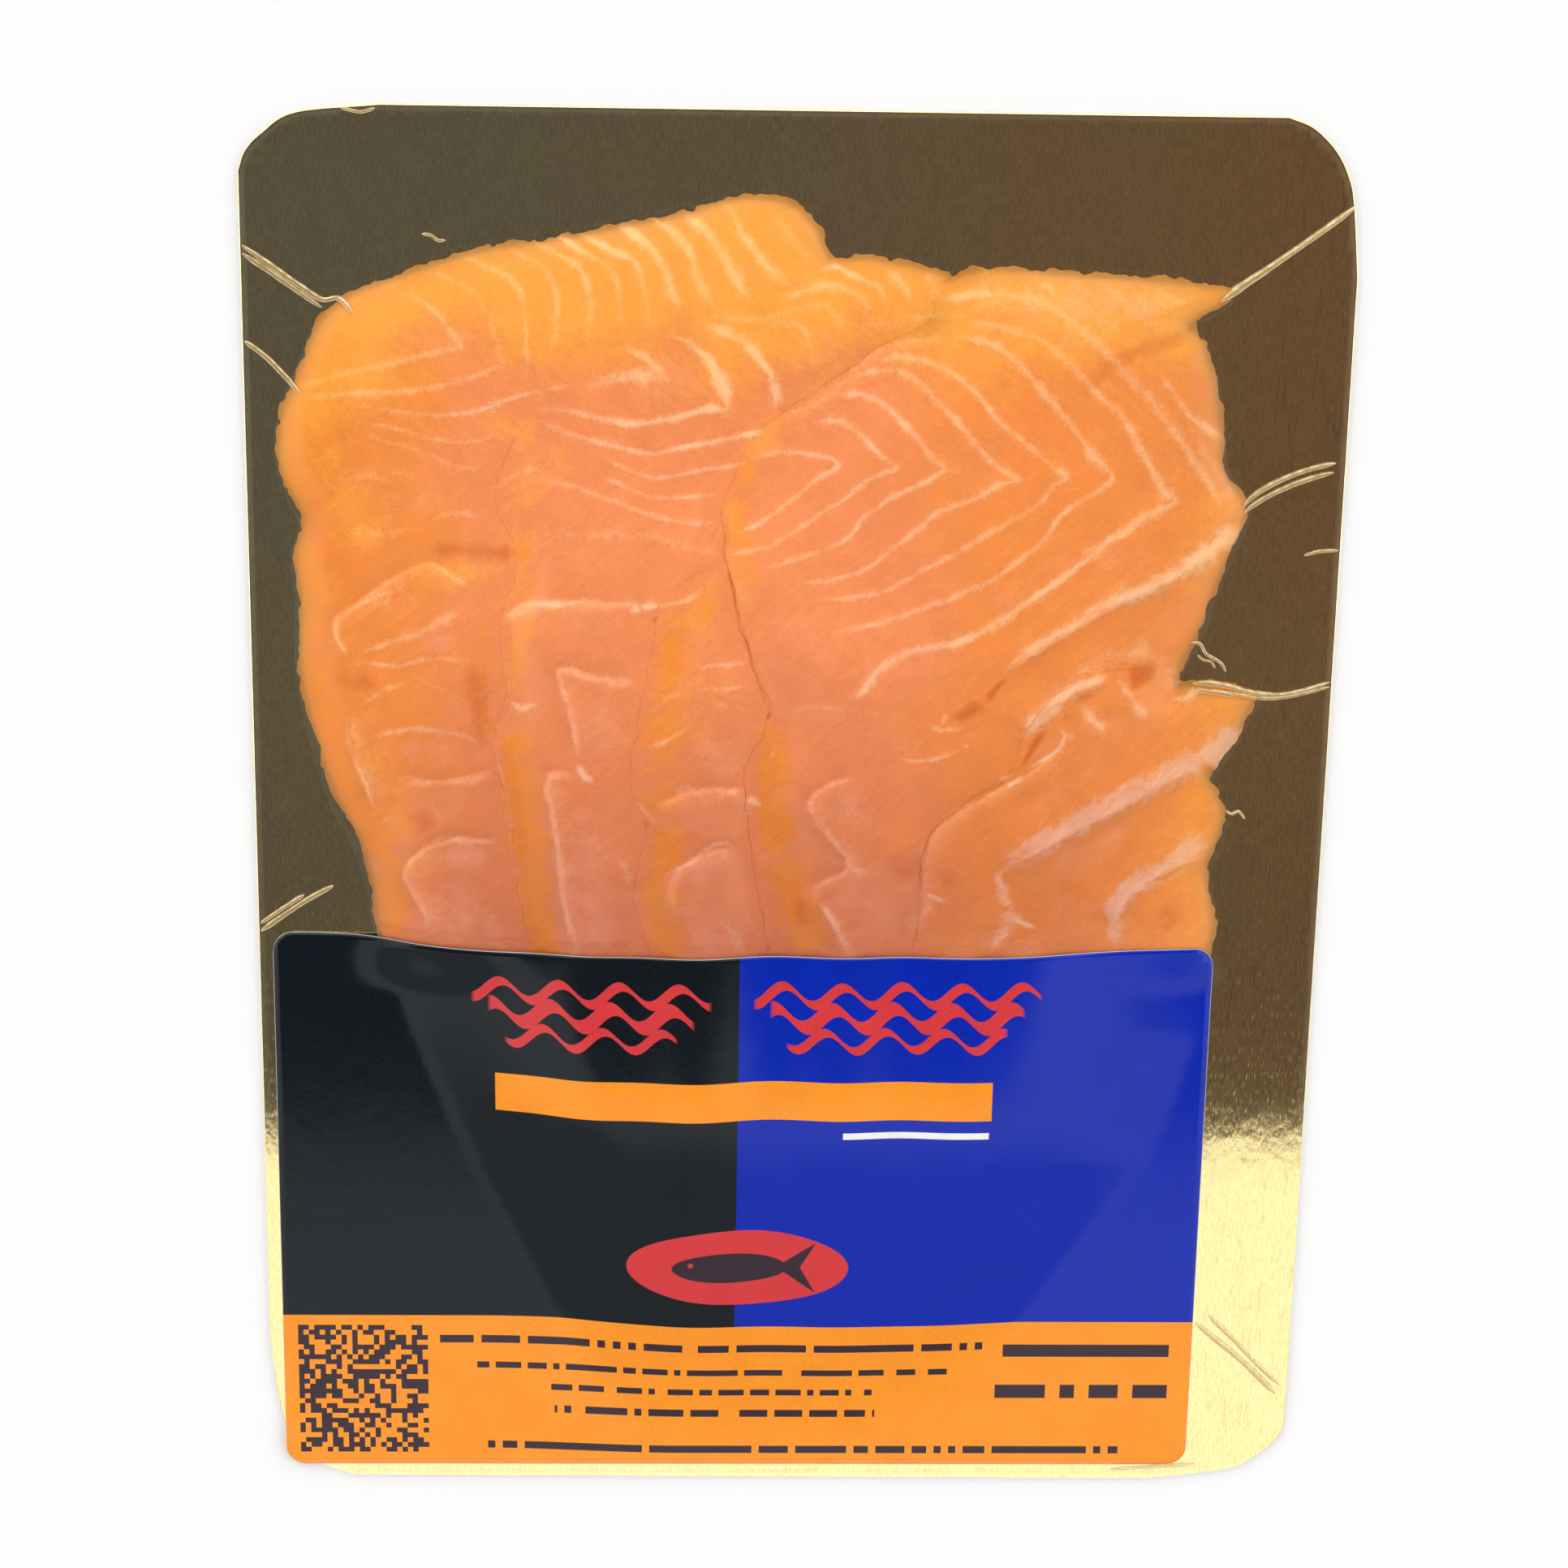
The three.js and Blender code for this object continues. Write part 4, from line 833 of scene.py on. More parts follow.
class Heights:
    """The slices' undersides and how deep inside each outline a point lies, and the skins over them."""

    def __init__(self):
        x, y = Raster.x, Raster.y
        floor = CARD_THICK + CLEARANCE / 2
        pile = np.full(Raster.size, floor)
        self.outline, self.depth, self.under = {}, {}, {}
        for name, spec in SLICES.items():
            outline = smooth_line(spec["outline"], closed=True, step=1.5)
            depth = depth_inside(x, y, outline)
            under = draped(pile, SAG["slice"])
            top = under + self.thickness(spec, depth, x, y)
            lifted = surface_relief(x.ravel(), y.ravel(), top.ravel()).reshape(x.shape)
            top = top + lifted * ease(depth, *SWELL_FROM)
            pile = np.where(depth > 0, np.maximum(pile, top + CLEARANCE / 2), pile)
            self.outline[name], self.depth[name], self.under[name] = outline, depth, under
        label = ease(depth_inside(x, y, label_outline()), *LABEL_HOLD)
        clinging = draped(pile + CLEARANCE / 2, SAG["film"])
        self.film = clinging + (self.under_label(clinging) - clinging) * label
        # the slices stay below this: the film where the label holds it down, and no limit elsewhere
        self.cap = np.where(label > 0.02, self.film + 2.0 * (1 - ease(label, 0.0, 0.4)), 99.0)

    @staticmethod
    def under_label(clinging):
        """The even sheet that the label makes of the film: level at first, then falling to the card."""
        x, y = Raster.x, Raster.y
        rows = np.abs(Raster.y[0] - (LABEL["top"] + 0.5)) < 2.5
        profile = clinging[:, rows].mean(1) - CARD_THICK - CLEARANCE
        kernel = np.exp(-((np.arange(-12, 13) * Raster.step / 4.0) ** 2))
        profile = np.convolve(np.maximum(profile, 0), kernel / kernel.sum(), mode="same")[:, None]
        rise = lambda gap: np.sin(np.clip(gap / LABEL_RISE, 0, 1) * math.pi / 2)
        left = rise(x - np.interp(y, *np.array(LABEL_FALL["left"]).T))
        right = rise(np.interp(y, *np.array(LABEL_FALL["right"]).T) - x)
        sides = 1 + (left * right - 1) * ease(-y, 14, 24)
        along = (1 - 0.55 * ease(-y, 38, 80)) * (1 - ease(-y, 66, 97))
        return CARD_THICK + CLEARANCE + profile * sides * along

    @staticmethod
    def thickness(spec, depth, x, y):
        """How thick a slice is at each point, from how deep inside its outline the point lies."""
        at_top, at_bottom = spec["thick"]
        body = at_bottom + (at_top - at_bottom) * ease(y, 10, 65)
        if spec["fade"]:
            body = body * between((THINNEST, 1), ease(y, *spec["fade"]))
        body = body * (1 - UNDER_LABEL_THINNER * ease(-y, 15, 22))
        left = np.ones(np.shape(x))
        for first, last, width in spec["pressed"]:
            line = smooth_line(spec["outline"][first : last + 1], step=2.0)
            away = to_segments(np.ravel(x), np.ravel(y), line, False)[0].reshape(np.shape(x))
            left = left * between((THINNEST, 1), ease(away, 0, width))
        edge = 0.02 + 0.12 * left
        return edge + np.maximum(body * left - edge, 0) * (1 - np.exp(-depth / spec["taper"]))


# ---- Modelling by Blender's own operators ----


def start_afresh():
    """Object mode, nothing selected."""
    if bpy.context.object and bpy.context.object.mode != "OBJECT":
        bpy.ops.object.mode_set(mode="OBJECT")
    bpy.ops.object.select_all(action="DESELECT")


@contextmanager
def edit_mode():
    """Edit mode for as long as the block lasts."""
    bpy.ops.object.mode_set(mode="EDIT")
    yield
    bpy.ops.object.mode_set(mode="OBJECT")


def turn_outwards():
    """In edit mode: makes every face of the piece look out of it."""
    bpy.ops.mesh.select_all(action="SELECT")
    bpy.ops.mesh.normals_make_consistent(inside=False)


def close_upwards(height):
    """Draws the active level sheet up by a height, in metres, into a closed slab."""
    with edit_mode():
        bpy.ops.mesh.select_all(action="SELECT")
        bpy.ops.mesh.extrude_region_move(TRANSFORM_OT_translate={"value": (0, 0, height)})
        turn_outwards()


def coords(mesh):
    found = np.empty(len(mesh.vertices) * 3)
    mesh.vertices.foreach_get("co", found)
    return found.reshape(-1, 3)


def put_coords(mesh, co):
    mesh.vertices.foreach_set("co", np.ascontiguousarray(co, dtype=np.float32).ravel())
    mesh.update()


def face_centres(mesh):
    found = np.empty(len(mesh.polygons) * 3)
    mesh.polygons.foreach_get("center", found)
    return found.reshape(-1, 3)


def select_faces(mesh, wanted):
    """Selects just these faces, for the edit-mode operators that come next."""
    bpy.context.tool_settings.mesh_select_mode = (False, False, True)
    mesh.vertices.foreach_set("select", np.zeros(len(mesh.vertices), bool))
    mesh.edges.foreach_set("select", np.zeros(len(mesh.edges), bool))
    mesh.polygons.foreach_set("select", np.asarray(wanted, bool))
    mesh.update()


def edge_pairs(mesh):
    found = np.empty(len(mesh.edges) * 2, int)
    mesh.edges.foreach_get("vertices", found)
    return found.reshape(-1, 2)


def rim_edges(mesh):
    """Edges that only one face uses."""
    used = np.empty(len(mesh.loops), int)
    mesh.loops.foreach_get("edge_index", used)
    return np.flatnonzero(np.bincount(used, minlength=len(mesh.edges)) == 1)


def add_grid(name, low, high, step):
    """A level grid over a box, in metres, as the start of a sheet."""
    start_afresh()
    size = np.array(high) - low
    count = np.maximum(1, np.round(size / step).astype(int))
    centre = (np.array(low) + high) / 2 * MM
    bpy.ops.mesh.primitive_grid_add(
        x_subdivisions=int(count[0]), y_subdivisions=int(count[1]), size=1, location=(*centre, 0)
    )
    piece = bpy.context.object
    piece.name = piece.data.name = name
    with edit_mode():
        bpy.ops.transform.resize(value=(size[0] * MM, size[1] * MM, 1))
    bpy.ops.object.transform_apply(location=True, rotation=True, scale=True)
    return piece


def trim_to(piece, outline, rounds=12):
    """Cuts a level grid along an outline and lets its rim follow it."""
    mesh = piece.data
    centres = face_centres(mesh)[:, :2] / MM
    select_faces(mesh, depth_inside(centres[:, 0], centres[:, 1], outline) < 0)
    with edit_mode():
        bpy.ops.mesh.delete(type="FACE")
    mesh = piece.data
    pairs = edge_pairs(mesh)
    rim = pairs[rim_edges(mesh)]
    on_rim = np.zeros(len(mesh.vertices), bool)
    on_rim[rim.ravel()] = True
    place = coords(mesh)[:, :2] / MM
    place[on_rim] = nearest_on(place[on_rim], outline)[0]
    count = np.bincount(pairs.ravel(), minlength=len(place))[:, None]
    rim_count = np.maximum(np.bincount(rim.ravel(), minlength=len(place)), 1)[:, None]
    depth = Raster.read(depth_inside(Raster.x, Raster.y, outline), place[:, 0], place[:, 1])
    near = (depth < 4) & ~on_rim
    for _ in range(rounds):
        total = np.zeros_like(place)
        np.add.at(total, pairs[:, 0], place[pairs[:, 1]])
        np.add.at(total, pairs[:, 1], place[pairs[:, 0]])
        along = np.zeros_like(place)
        np.add.at(along, rim[:, 0], place[rim[:, 1]])
        np.add.at(along, rim[:, 1], place[rim[:, 0]])
        place[near] = 0.5 * place[near] + 0.5 * (total / count)[near]
        slid = 0.5 * place[on_rim] + 0.5 * (along / rim_count)[on_rim]
        place[on_rim] = nearest_on(slid, outline)[0]
    put_coords(mesh, np.column_stack((place * MM, np.zeros(len(place)))))


def finish_piece(piece, node, slot_name, *materials):
    """Gives a piece its finishes, hides the part of model.glb that it stands in for, and hangs it from the
    root body.
    """
    for material in materials:
        piece.data.materials.append(material)
    if node:
        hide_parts(node)
    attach(piece, "root")


def thicken(piece, thickness):
    """Makes a sheet a closed shell that grows upwards from where it lies."""
    start_afresh()
    piece.select_set(True)
    bpy.context.view_layer.objects.active = piece
    solid = piece.modifiers.new("thickness", "SOLIDIFY")
    solid.thickness = thickness
    solid.offset = 1.0
    bpy.ops.object.modifier_apply(modifier=solid.name)
    bpy.ops.object.shade_smooth()


# ---- Shader nodes ----


class Graph:
    """Adds nodes to a tree. An input takes a plain value or another node's output."""

    def __init__(self, tree):
        self.tree = tree

    def fill(self, node, inputs):
        for key, value in inputs.items():
            if isinstance(value, bpy.types.NodeSocket):
                self.tree.links.new(value, node.inputs[key])
            else:
                node.inputs[key].default_value = value

    def node(self, kind, inputs=(), out=0, **settings):
        made = self.tree.nodes.new(kind)
        for key, value in settings.items():
            setattr(made, key, value)
        self.fill(made, dict(inputs))
        return made.outputs[out]

    def math(self, operation, a, b=0.0, c=0.0, clamp=False):
        return self.node("ShaderNodeMath", {0: a, 1: b, 2: c}, operation=operation, use_clamp=clamp)

    def mix(self, factor, a, b):
        return self.node("ShaderNodeMix", {0: factor, 6: a, 7: b}, out=2, data_type="RGBA")

    def ramp(self, value, low, high, to_low=0.0, to_high=1.0):
        return self.node(
            "ShaderNodeMapRange",
            {0: value, 1: low, 2: high, 3: to_low, 4: to_high},
            interpolation_type="SMOOTHSTEP",
        )

    def product(self, a, b):
        """Two vectors or colours multiplied part by part."""
        return self.node("ShaderNodeVectorMath", {0: a, 1: b}, operation="MULTIPLY")

    def scaled(self, vector, factor):
        return self.node("ShaderNodeVectorMath", {0: vector, 3: factor}, operation="SCALE")

    def noise(self, vector, size, detail=2.0, roughness=0.5):
        return self.node(
            "ShaderNodeTexNoise",
            {"Vector": vector, "Scale": 1.0 / size, "Detail": detail, "Roughness": roughness},
        )

    def attribute(self, name):
        return self.node("ShaderNodeAttribute", out=2, attribute_name=name)

    def place(self):
        """Object coordinates in millimetres."""
        return self.scaled(self.node("ShaderNodeTexCoord", out=3), 1 / MM)

    def stretched(self, vector, scale):
        return self.node("ShaderNodeMapping", {"Vector": vector, "Scale": scale})

    def along(self, vector, turn, scale):
        """Coordinates drawn out along a direction: scale is (length along it, width across it, 1)."""
        turned = (0, 0, math.radians(turn))
        return self.node(
            "ShaderNodeMapping", {"Vector": vector, "Rotation": turned, "Scale": scale},
            vector_type="TEXTURE",
        )

    def split(self, vector):
        made = self.tree.nodes.new("ShaderNodeSeparateXYZ")
        self.tree.links.new(vector, made.inputs[0])
        return made.outputs

    def bump(self, height, distance, strength=1.0):
        return self.node(
            "ShaderNodeBump", {"Strength": strength, "Distance": distance, "Height": height}
        )

    def group(self, tree, inputs):
        made = self.tree.nodes.new("ShaderNodeGroup")
        made.node_tree = tree
        self.fill(made, inputs)
        return made.outputs


def new_material(name):
    """A material with just an output and a Principled shader, and the graph to add nodes with."""
    material = bpy.data.materials.new(name)
    material.use_nodes = True
    tree = material.node_tree
    tree.nodes.clear()
    shader = tree.nodes.new("ShaderNodeBsdfPrincipled")
    out = tree.nodes.new("ShaderNodeOutputMaterial")
    tree.links.new(shader.outputs[0], out.inputs[0])
    return material, shader, Graph(tree)


def feed(graph, shader, **inputs):
    """Sets the Principled shader's inputs; an underscore in a name stands for a space."""
    graph.fill(shader, {key.replace("_", " "): value for key, value in inputs.items()})


def opaque(colour, share=1.0):
    """A colour setting, or a share of its brightness, with full alpha."""
    return tuple(c * share for c in colour) + (1.0,)


def new_group(name, inputs, outputs):
    """An empty shader group with these inputs (name: (kind, default)) and outputs (name: kind)."""
    tree = bpy.data.node_groups.new(name, "ShaderNodeTree")
    for key, (kind, default) in inputs.items():
        socket = tree.interface.new_socket(name=key, in_out="INPUT", socket_type=f"NodeSocket{kind}")
        if default is not None:
            socket.default_value = default
    for key, kind in outputs.items():
        tree.interface.new_socket(name=key, in_out="OUTPUT", socket_type=f"NodeSocket{kind}")
    graph = Graph(tree)
    start = tree.nodes.new("NodeGroupInput")
    end = tree.nodes.new("NodeGroupOutput")
    return tree, graph, start.outputs, end.inputs


def grain_group():
    """Mottle and speckle, for foil, flesh and print alike."""
    if "grain" in bpy.data.node_groups:
        return bpy.data.node_groups["grain"]
    tree, g, given, result = new_group(
        "grain",
        {"Vector": ("Vector", None), "Coarse": ("Float", 3.0), "Fine": ("Float", 0.4)},
        {"Mottle": "Float", "Speckle": "Float"},
    )
    for key, out, detail in (("Coarse", "Mottle", 3.0), ("Fine", "Speckle", 2.0)):
        scale = g.math("DIVIDE", 1.0, given[key])
        noise = g.node(
            "ShaderNodeTexNoise", {"Vector": given["Vector"], "Scale": scale, "Detail": detail}
        )
        tree.links.new(noise, result[out])
    return tree


def print_box_group():
    """1 inside a box printed on the label, 0 outside it."""
    if "print box" in bpy.data.node_groups:
        return bpy.data.node_groups["print box"]
    tree, g, given, result = new_group(
        "print box",
        {
            "X": ("Float", 0.0), "Y": ("Float", 0.0), "Centre X": ("Float", 0.0),
            "Centre Y": ("Float", 0.0), "Half Width": ("Float", 1.0), "Half Height": ("Float", 1.0),
            "Blur": ("Float", 0.08),
        },
        {"Mask": "Float"},
    )
    sides = []
    for axis, half in (("X", "Half Width"), ("Y", "Half Height")):
        away = g.math("ABSOLUTE", g.math("SUBTRACT", given[axis], given[f"Centre {axis}"]))
        over = g.math("SUBTRACT", away, given[half])
        sides.append(g.math("DIVIDE", over, given["Blur"]))
    worst = g.math("MAXIMUM", *sides)
    tree.links.new(g.math("SUBTRACT", 0.5, worst, clamp=True), result["Mask"])
    return tree


# ---- Finishes ----


def foil_finish(props):
    """Foil with a fine upright fibre, small specks, and a few scratches at the right."""
    material, shader, g = new_material("gold foil")
    place = g.place()
    upright = g.stretched(place, (1.0, 0.5, 1.0))
    grain = g.group(grain_group(), {"Vector": upright, "Coarse": 1.7, "Fine": 0.45})
    fibre = g.noise(g.stretched(place, (1.0, 0.15, 1.0)), 0.2, 1.0)
    scratch = g.noise(g.stretched(place, (1.0, 0.09, 1.0)), 0.5, 1.0)
    right = g.ramp(g.split(place)[0], 52.0, 70.0, 0.25, 1.0)
    scratched = g.math("MULTIPLY", g.ramp(scratch, 0.63, 0.7), right)
    tone = g.math("MULTIPLY_ADD", grain["Mottle"], 0.22, 0.87)
    tone = g.math("MULTIPLY", tone, g.ramp(fibre, 0.3, 0.7, 0.9, 1.09))
    tone = g.math("MULTIPLY", tone, g.math("MULTIPLY_ADD", scratched, -0.13, 1.0))
    speck = g.ramp(grain["Speckle"], 0.64, 0.8, 1.0, 1.5)
    colour = g.scaled(tuple(props.foil), g.math("MULTIPLY", tone, speck))
    pits = g.ramp(fibre, 0.6, 0.8)
    rough = g.math("MULTIPLY_ADD", pits, 0.1, props.foil_roughness)
    swell = g.noise(place, 9.0, 1.0)
    fine = g.math("MULTIPLY_ADD", grain["Speckle"], 0.12, g.math("MULTIPLY", grain["Mottle"], 1.4))
    height = g.math("MULTIPLY_ADD", swell, 2.5, fine)
    feed(g, shader, Base_Color=colour, Metallic=1.0, Roughness=rough, Normal=g.bump(height, 0.006 * MM))
    return material


def core_finish(props):
    material, shader, g = new_material("board core")
    place = g.place()
    layers = g.noise(g.stretched(place, (1.0, 1.0, 14.0)), 1.6, 3.0)
    colour = g.mix(layers, opaque(props.core, 0.82), opaque(props.core))
    feed(g, shader, Base_Color=colour, Roughness=0.85, Normal=g.bump(layers, 0.05 * MM))
    return material


def flesh_finish(props):
    """Moist flesh: pink in the middle of a slice, golden towards its rim, with pale fat lines; painted shade
    in creases, before the flakes' lips, along the thin rim and towards the label, and painted light on the
    lips and a few painted highlights.
    """
    material, shader, g = new_material("smoked salmon flesh")
    place = g.place()
    grain = g.group(grain_group(), {"Vector": place, "Coarse": 4.5, "Fine": 0.38})
    mottle, speckle = grain["Mottle"], grain["Speckle"]
    ragged = g.noise(place, 1.5, 2.0, 0.65)
    # the muscle's threads run along the fat lines, which turn back half way up
    x, y, _ = g.split(place)
    bent = g.math("ABSOLUTE", g.math("SUBTRACT", g.math("MULTIPLY_ADD", mottle, 5.0, y), 56.5))
    flow = g.tree.nodes.new("ShaderNodeCombineXYZ")
    for socket, value in zip(flow.inputs, (x, bent)):
        g.tree.links.new(value, socket)
    threads = g.noise(g.along(flow.outputs[0], -38.0, (6.5, 0.85, 1.0)), 1.0, 2.0)
    colours = {
        key: opaque(getattr(props, key))
        for key in ("pink", "amber", "gold", "smoke", "crease", "pale", "fat", "fat_deep", "band", "rim")
    }
    shaken = g.math("ADD", g.math("MULTIPLY", mottle, 0.35), g.math("MULTIPLY", ragged, 0.4))
    shaken = g.math("SUBTRACT", g.math("MULTIPLY_ADD", speckle, 0.25, shaken), 0.5)

    def uneven(name, amount, full=1.0):
        """A painted mask with its soft edge broken up."""
        mask = g.attribute(name)
        return g.math(
            "MULTIPLY",
            g.ramp(g.math("MULTIPLY_ADD", shaken, amount, mask), 0.1, 0.9, 0.0, full),
            g.ramp(mask, 0.0, 0.15),
        )

    # painted light on the flakes' lips above 0, painted shade in the hollows before them below 0
    lip_light_and_shade = g.attribute("lip_light_and_shade")
    amber = g.attribute("amber")
    towards_amber = g.ramp(g.math("MULTIPLY_ADD", shaken, 1.3, amber), 0.0, 1.0)
    colour = g.mix(towards_amber, colours["pink"], colours["amber"])
    colour = g.mix(uneven("gold", 0.75), colour, colours["gold"])
    colour = g.mix(uneven("pale", 0.9, 0.8), colour, colours["pale"])
    colour = g.mix(uneven("smoke", 1.1, 0.95), colour, colours["smoke"])
    # painted shade in creases, under folds and in hollows, and darker spots
    colour = g.mix(uneven("crease", 0.5), colour, colours["crease"])
    # the thin rim over the card: partly the foil showing through the flesh, partly painted shade along the
    # edge
    thin = g.ramp(g.math("MULTIPLY_ADD", shaken, 0.7, g.attribute("rim")), 0.0, 1.0, 0.0, 0.82)
    colour = g.mix(thin, colour, colours["rim"])
    golden = g.math("MAXIMUM", g.attribute("gold"), g.math("MULTIPLY", amber, 0.22))
    fat_colour = g.mix(golden, colours["fat_deep"], colours["fat"])
    # the fine threads show paler where the painted light on a lip falls
    near_lip = g.math("MULTIPLY_ADD", lip_light_and_shade, 0.12, 0.05)
    pale_thread = g.math("MULTIPLY", g.ramp(threads, 0.52, 0.75), near_lip, clamp=True)
    colour = g.mix(pale_thread, colour, fat_colour)
    # painted light on the lip of each flake, in the fat colour
    lip_light = g.ramp(g.math("MULTIPLY_ADD", shaken, 0.8, lip_light_and_shade), 0.0, 1.0)
    colour = g.mix(g.math("MULTIPLY", lip_light, 0.36), colour, fat_colour)
    streaky = g.math("SUBTRACT", g.math("ADD", threads, speckle), 1.0)
    band = g.math("MULTIPLY_ADD", streaky, 0.5, g.attribute("band"))
    colour = g.mix(g.ramp(band, 0.1, 0.9, 0.0, 0.74), colour, colours["band"])
    # the fat lines, with a few painted highlights drawn in the same way
    fat = g.attribute("fat")
    teeth = g.math("MULTIPLY_ADD", g.math("SUBTRACT", g.math("ADD", ragged, speckle), 1.0), 0.42, fat)
    broken = g.math("MULTIPLY", g.ramp(teeth, 0.0, 0.75), g.math("MULTIPLY_ADD", fat, 0.65, 0.38))
    broken = g.math("MULTIPLY", broken, g.ramp(fat, 0.0, 0.12), clamp=True)
    colour = g.mix(broken, colour, fat_colour)
    tone = g.math("ADD", g.ramp(mottle, 0.25, 0.75, 0.96, 1.03), g.ramp(threads, 0.28, 0.62, -0.02, 0.012))
    tone = g.math("ADD", tone, g.ramp(ragged, 0.3, 0.7, -0.015, 0.015))
    tone = g.math("ADD", tone, g.ramp(speckle, 0.3, 0.7, -0.03, 0.03))
    # painted shade in the hollow before each flake's lip
    tone = g.math("ADD", tone, g.math("MINIMUM", g.math("MULTIPLY", lip_light_and_shade, 0.16), 0.0))
    # painted shade: the flesh darkens and cools towards the label's top edge, where the label keeps light
    # out of it, less so at the right and the far left
    label_shade = g.math("MULTIPLY", g.ramp(y, 45.0, -32.0, 0.0, 0.92), g.ramp(x, 8.0, 30.0, 1.0, 0.88))
    label_shade = g.math("MULTIPLY", label_shade, g.ramp(x, -42.0, -58.0, 1.0, 0.62))
    shade = g.mix(label_shade, (1.0, 1.0, 1.0, 1), (0.6, 0.52, 0.74, 1))
    # then slightly darker towards the right edge, and deeper and darker at the far left edge
    shade = g.mix(g.ramp(x, 36.0, 60.0), shade, (0.93, 0.96, 0.97, 1))
    far_left = g.math("MULTIPLY", g.ramp(x, -58.0, -68.0), g.ramp(y, -10.0, 20.0))
    shade = g.mix(far_left, shade, (0.94, 0.88, 0.6, 1))
    colour = g.scaled(g.product(colour, shade), tone)
    height = g.math("MULTIPLY_ADD", ragged, 0.2, g.math("MULTIPLY_ADD", speckle, 0.2, fat))
    feed(
        g, shader, Base_Color=colour, Roughness=g.ramp(speckle, 0.3, 0.7, 0.32, 0.5),
        Specular_IOR_Level=0.12, Normal=g.bump(height, 0.06 * MM, 0.8),
    )
    return material


def film_finish(props):
    material, shader, g = new_material("clear film")
    place = g.place()
    facing = g.node("ShaderNodeLayerWeight", {"Blend": 0.5}, out=1)
    glance = g.math("POWER", facing, 4.0)
    wrinkle = g.noise(g.stretched(place, (1.0, 0.6, 1.0)), 4.0, 1.0)
    solid = g.math("MULTIPLY_ADD", glance, 0.45, props.film_gloss, clamp=True)
    feed(
        g, shader, Base_Color=(1.0, 1.0, 1.0, 1.0), Metallic=1.0, Alpha=solid,
        Roughness=g.ramp(wrinkle, 0.3, 0.8, 0.04, 0.1), Normal=g.bump(wrinkle, 0.03 * MM, 0.6),
    )
    return material


def pleat_finish(props):
    """Gathered film: clear and faintly golden along its crest, pale along both flanks, both painted
    reflections.
    """
    material, shader, g = new_material("gathered film")
    place = g.place()
    normal = g.split(g.node("ShaderNodeNewGeometry", out=1))
    # painted reflection: the film pales where it turns steeply, along both flanks
    flank_reflection = g.ramp(g.math("ABSOLUTE", normal[2]), 0.97, 0.6)
    beads = g.noise(place, 1.1, 2.0)
    pale = g.math("MULTIPLY", flank_reflection, g.ramp(beads, 0.3, 0.65, 0.35, 1.0))
    colour = g.mix(pale, (0.8, 0.58, 0.25, 1), opaque(props.pleat))
    solid = g.math("MULTIPLY_ADD", pale, 0.5, 0.2, clamp=True)
    feed(g, shader, Base_Color=colour, Alpha=solid, Roughness=0.12, Normal=g.bump(beads, 0.08 * MM))
    return material


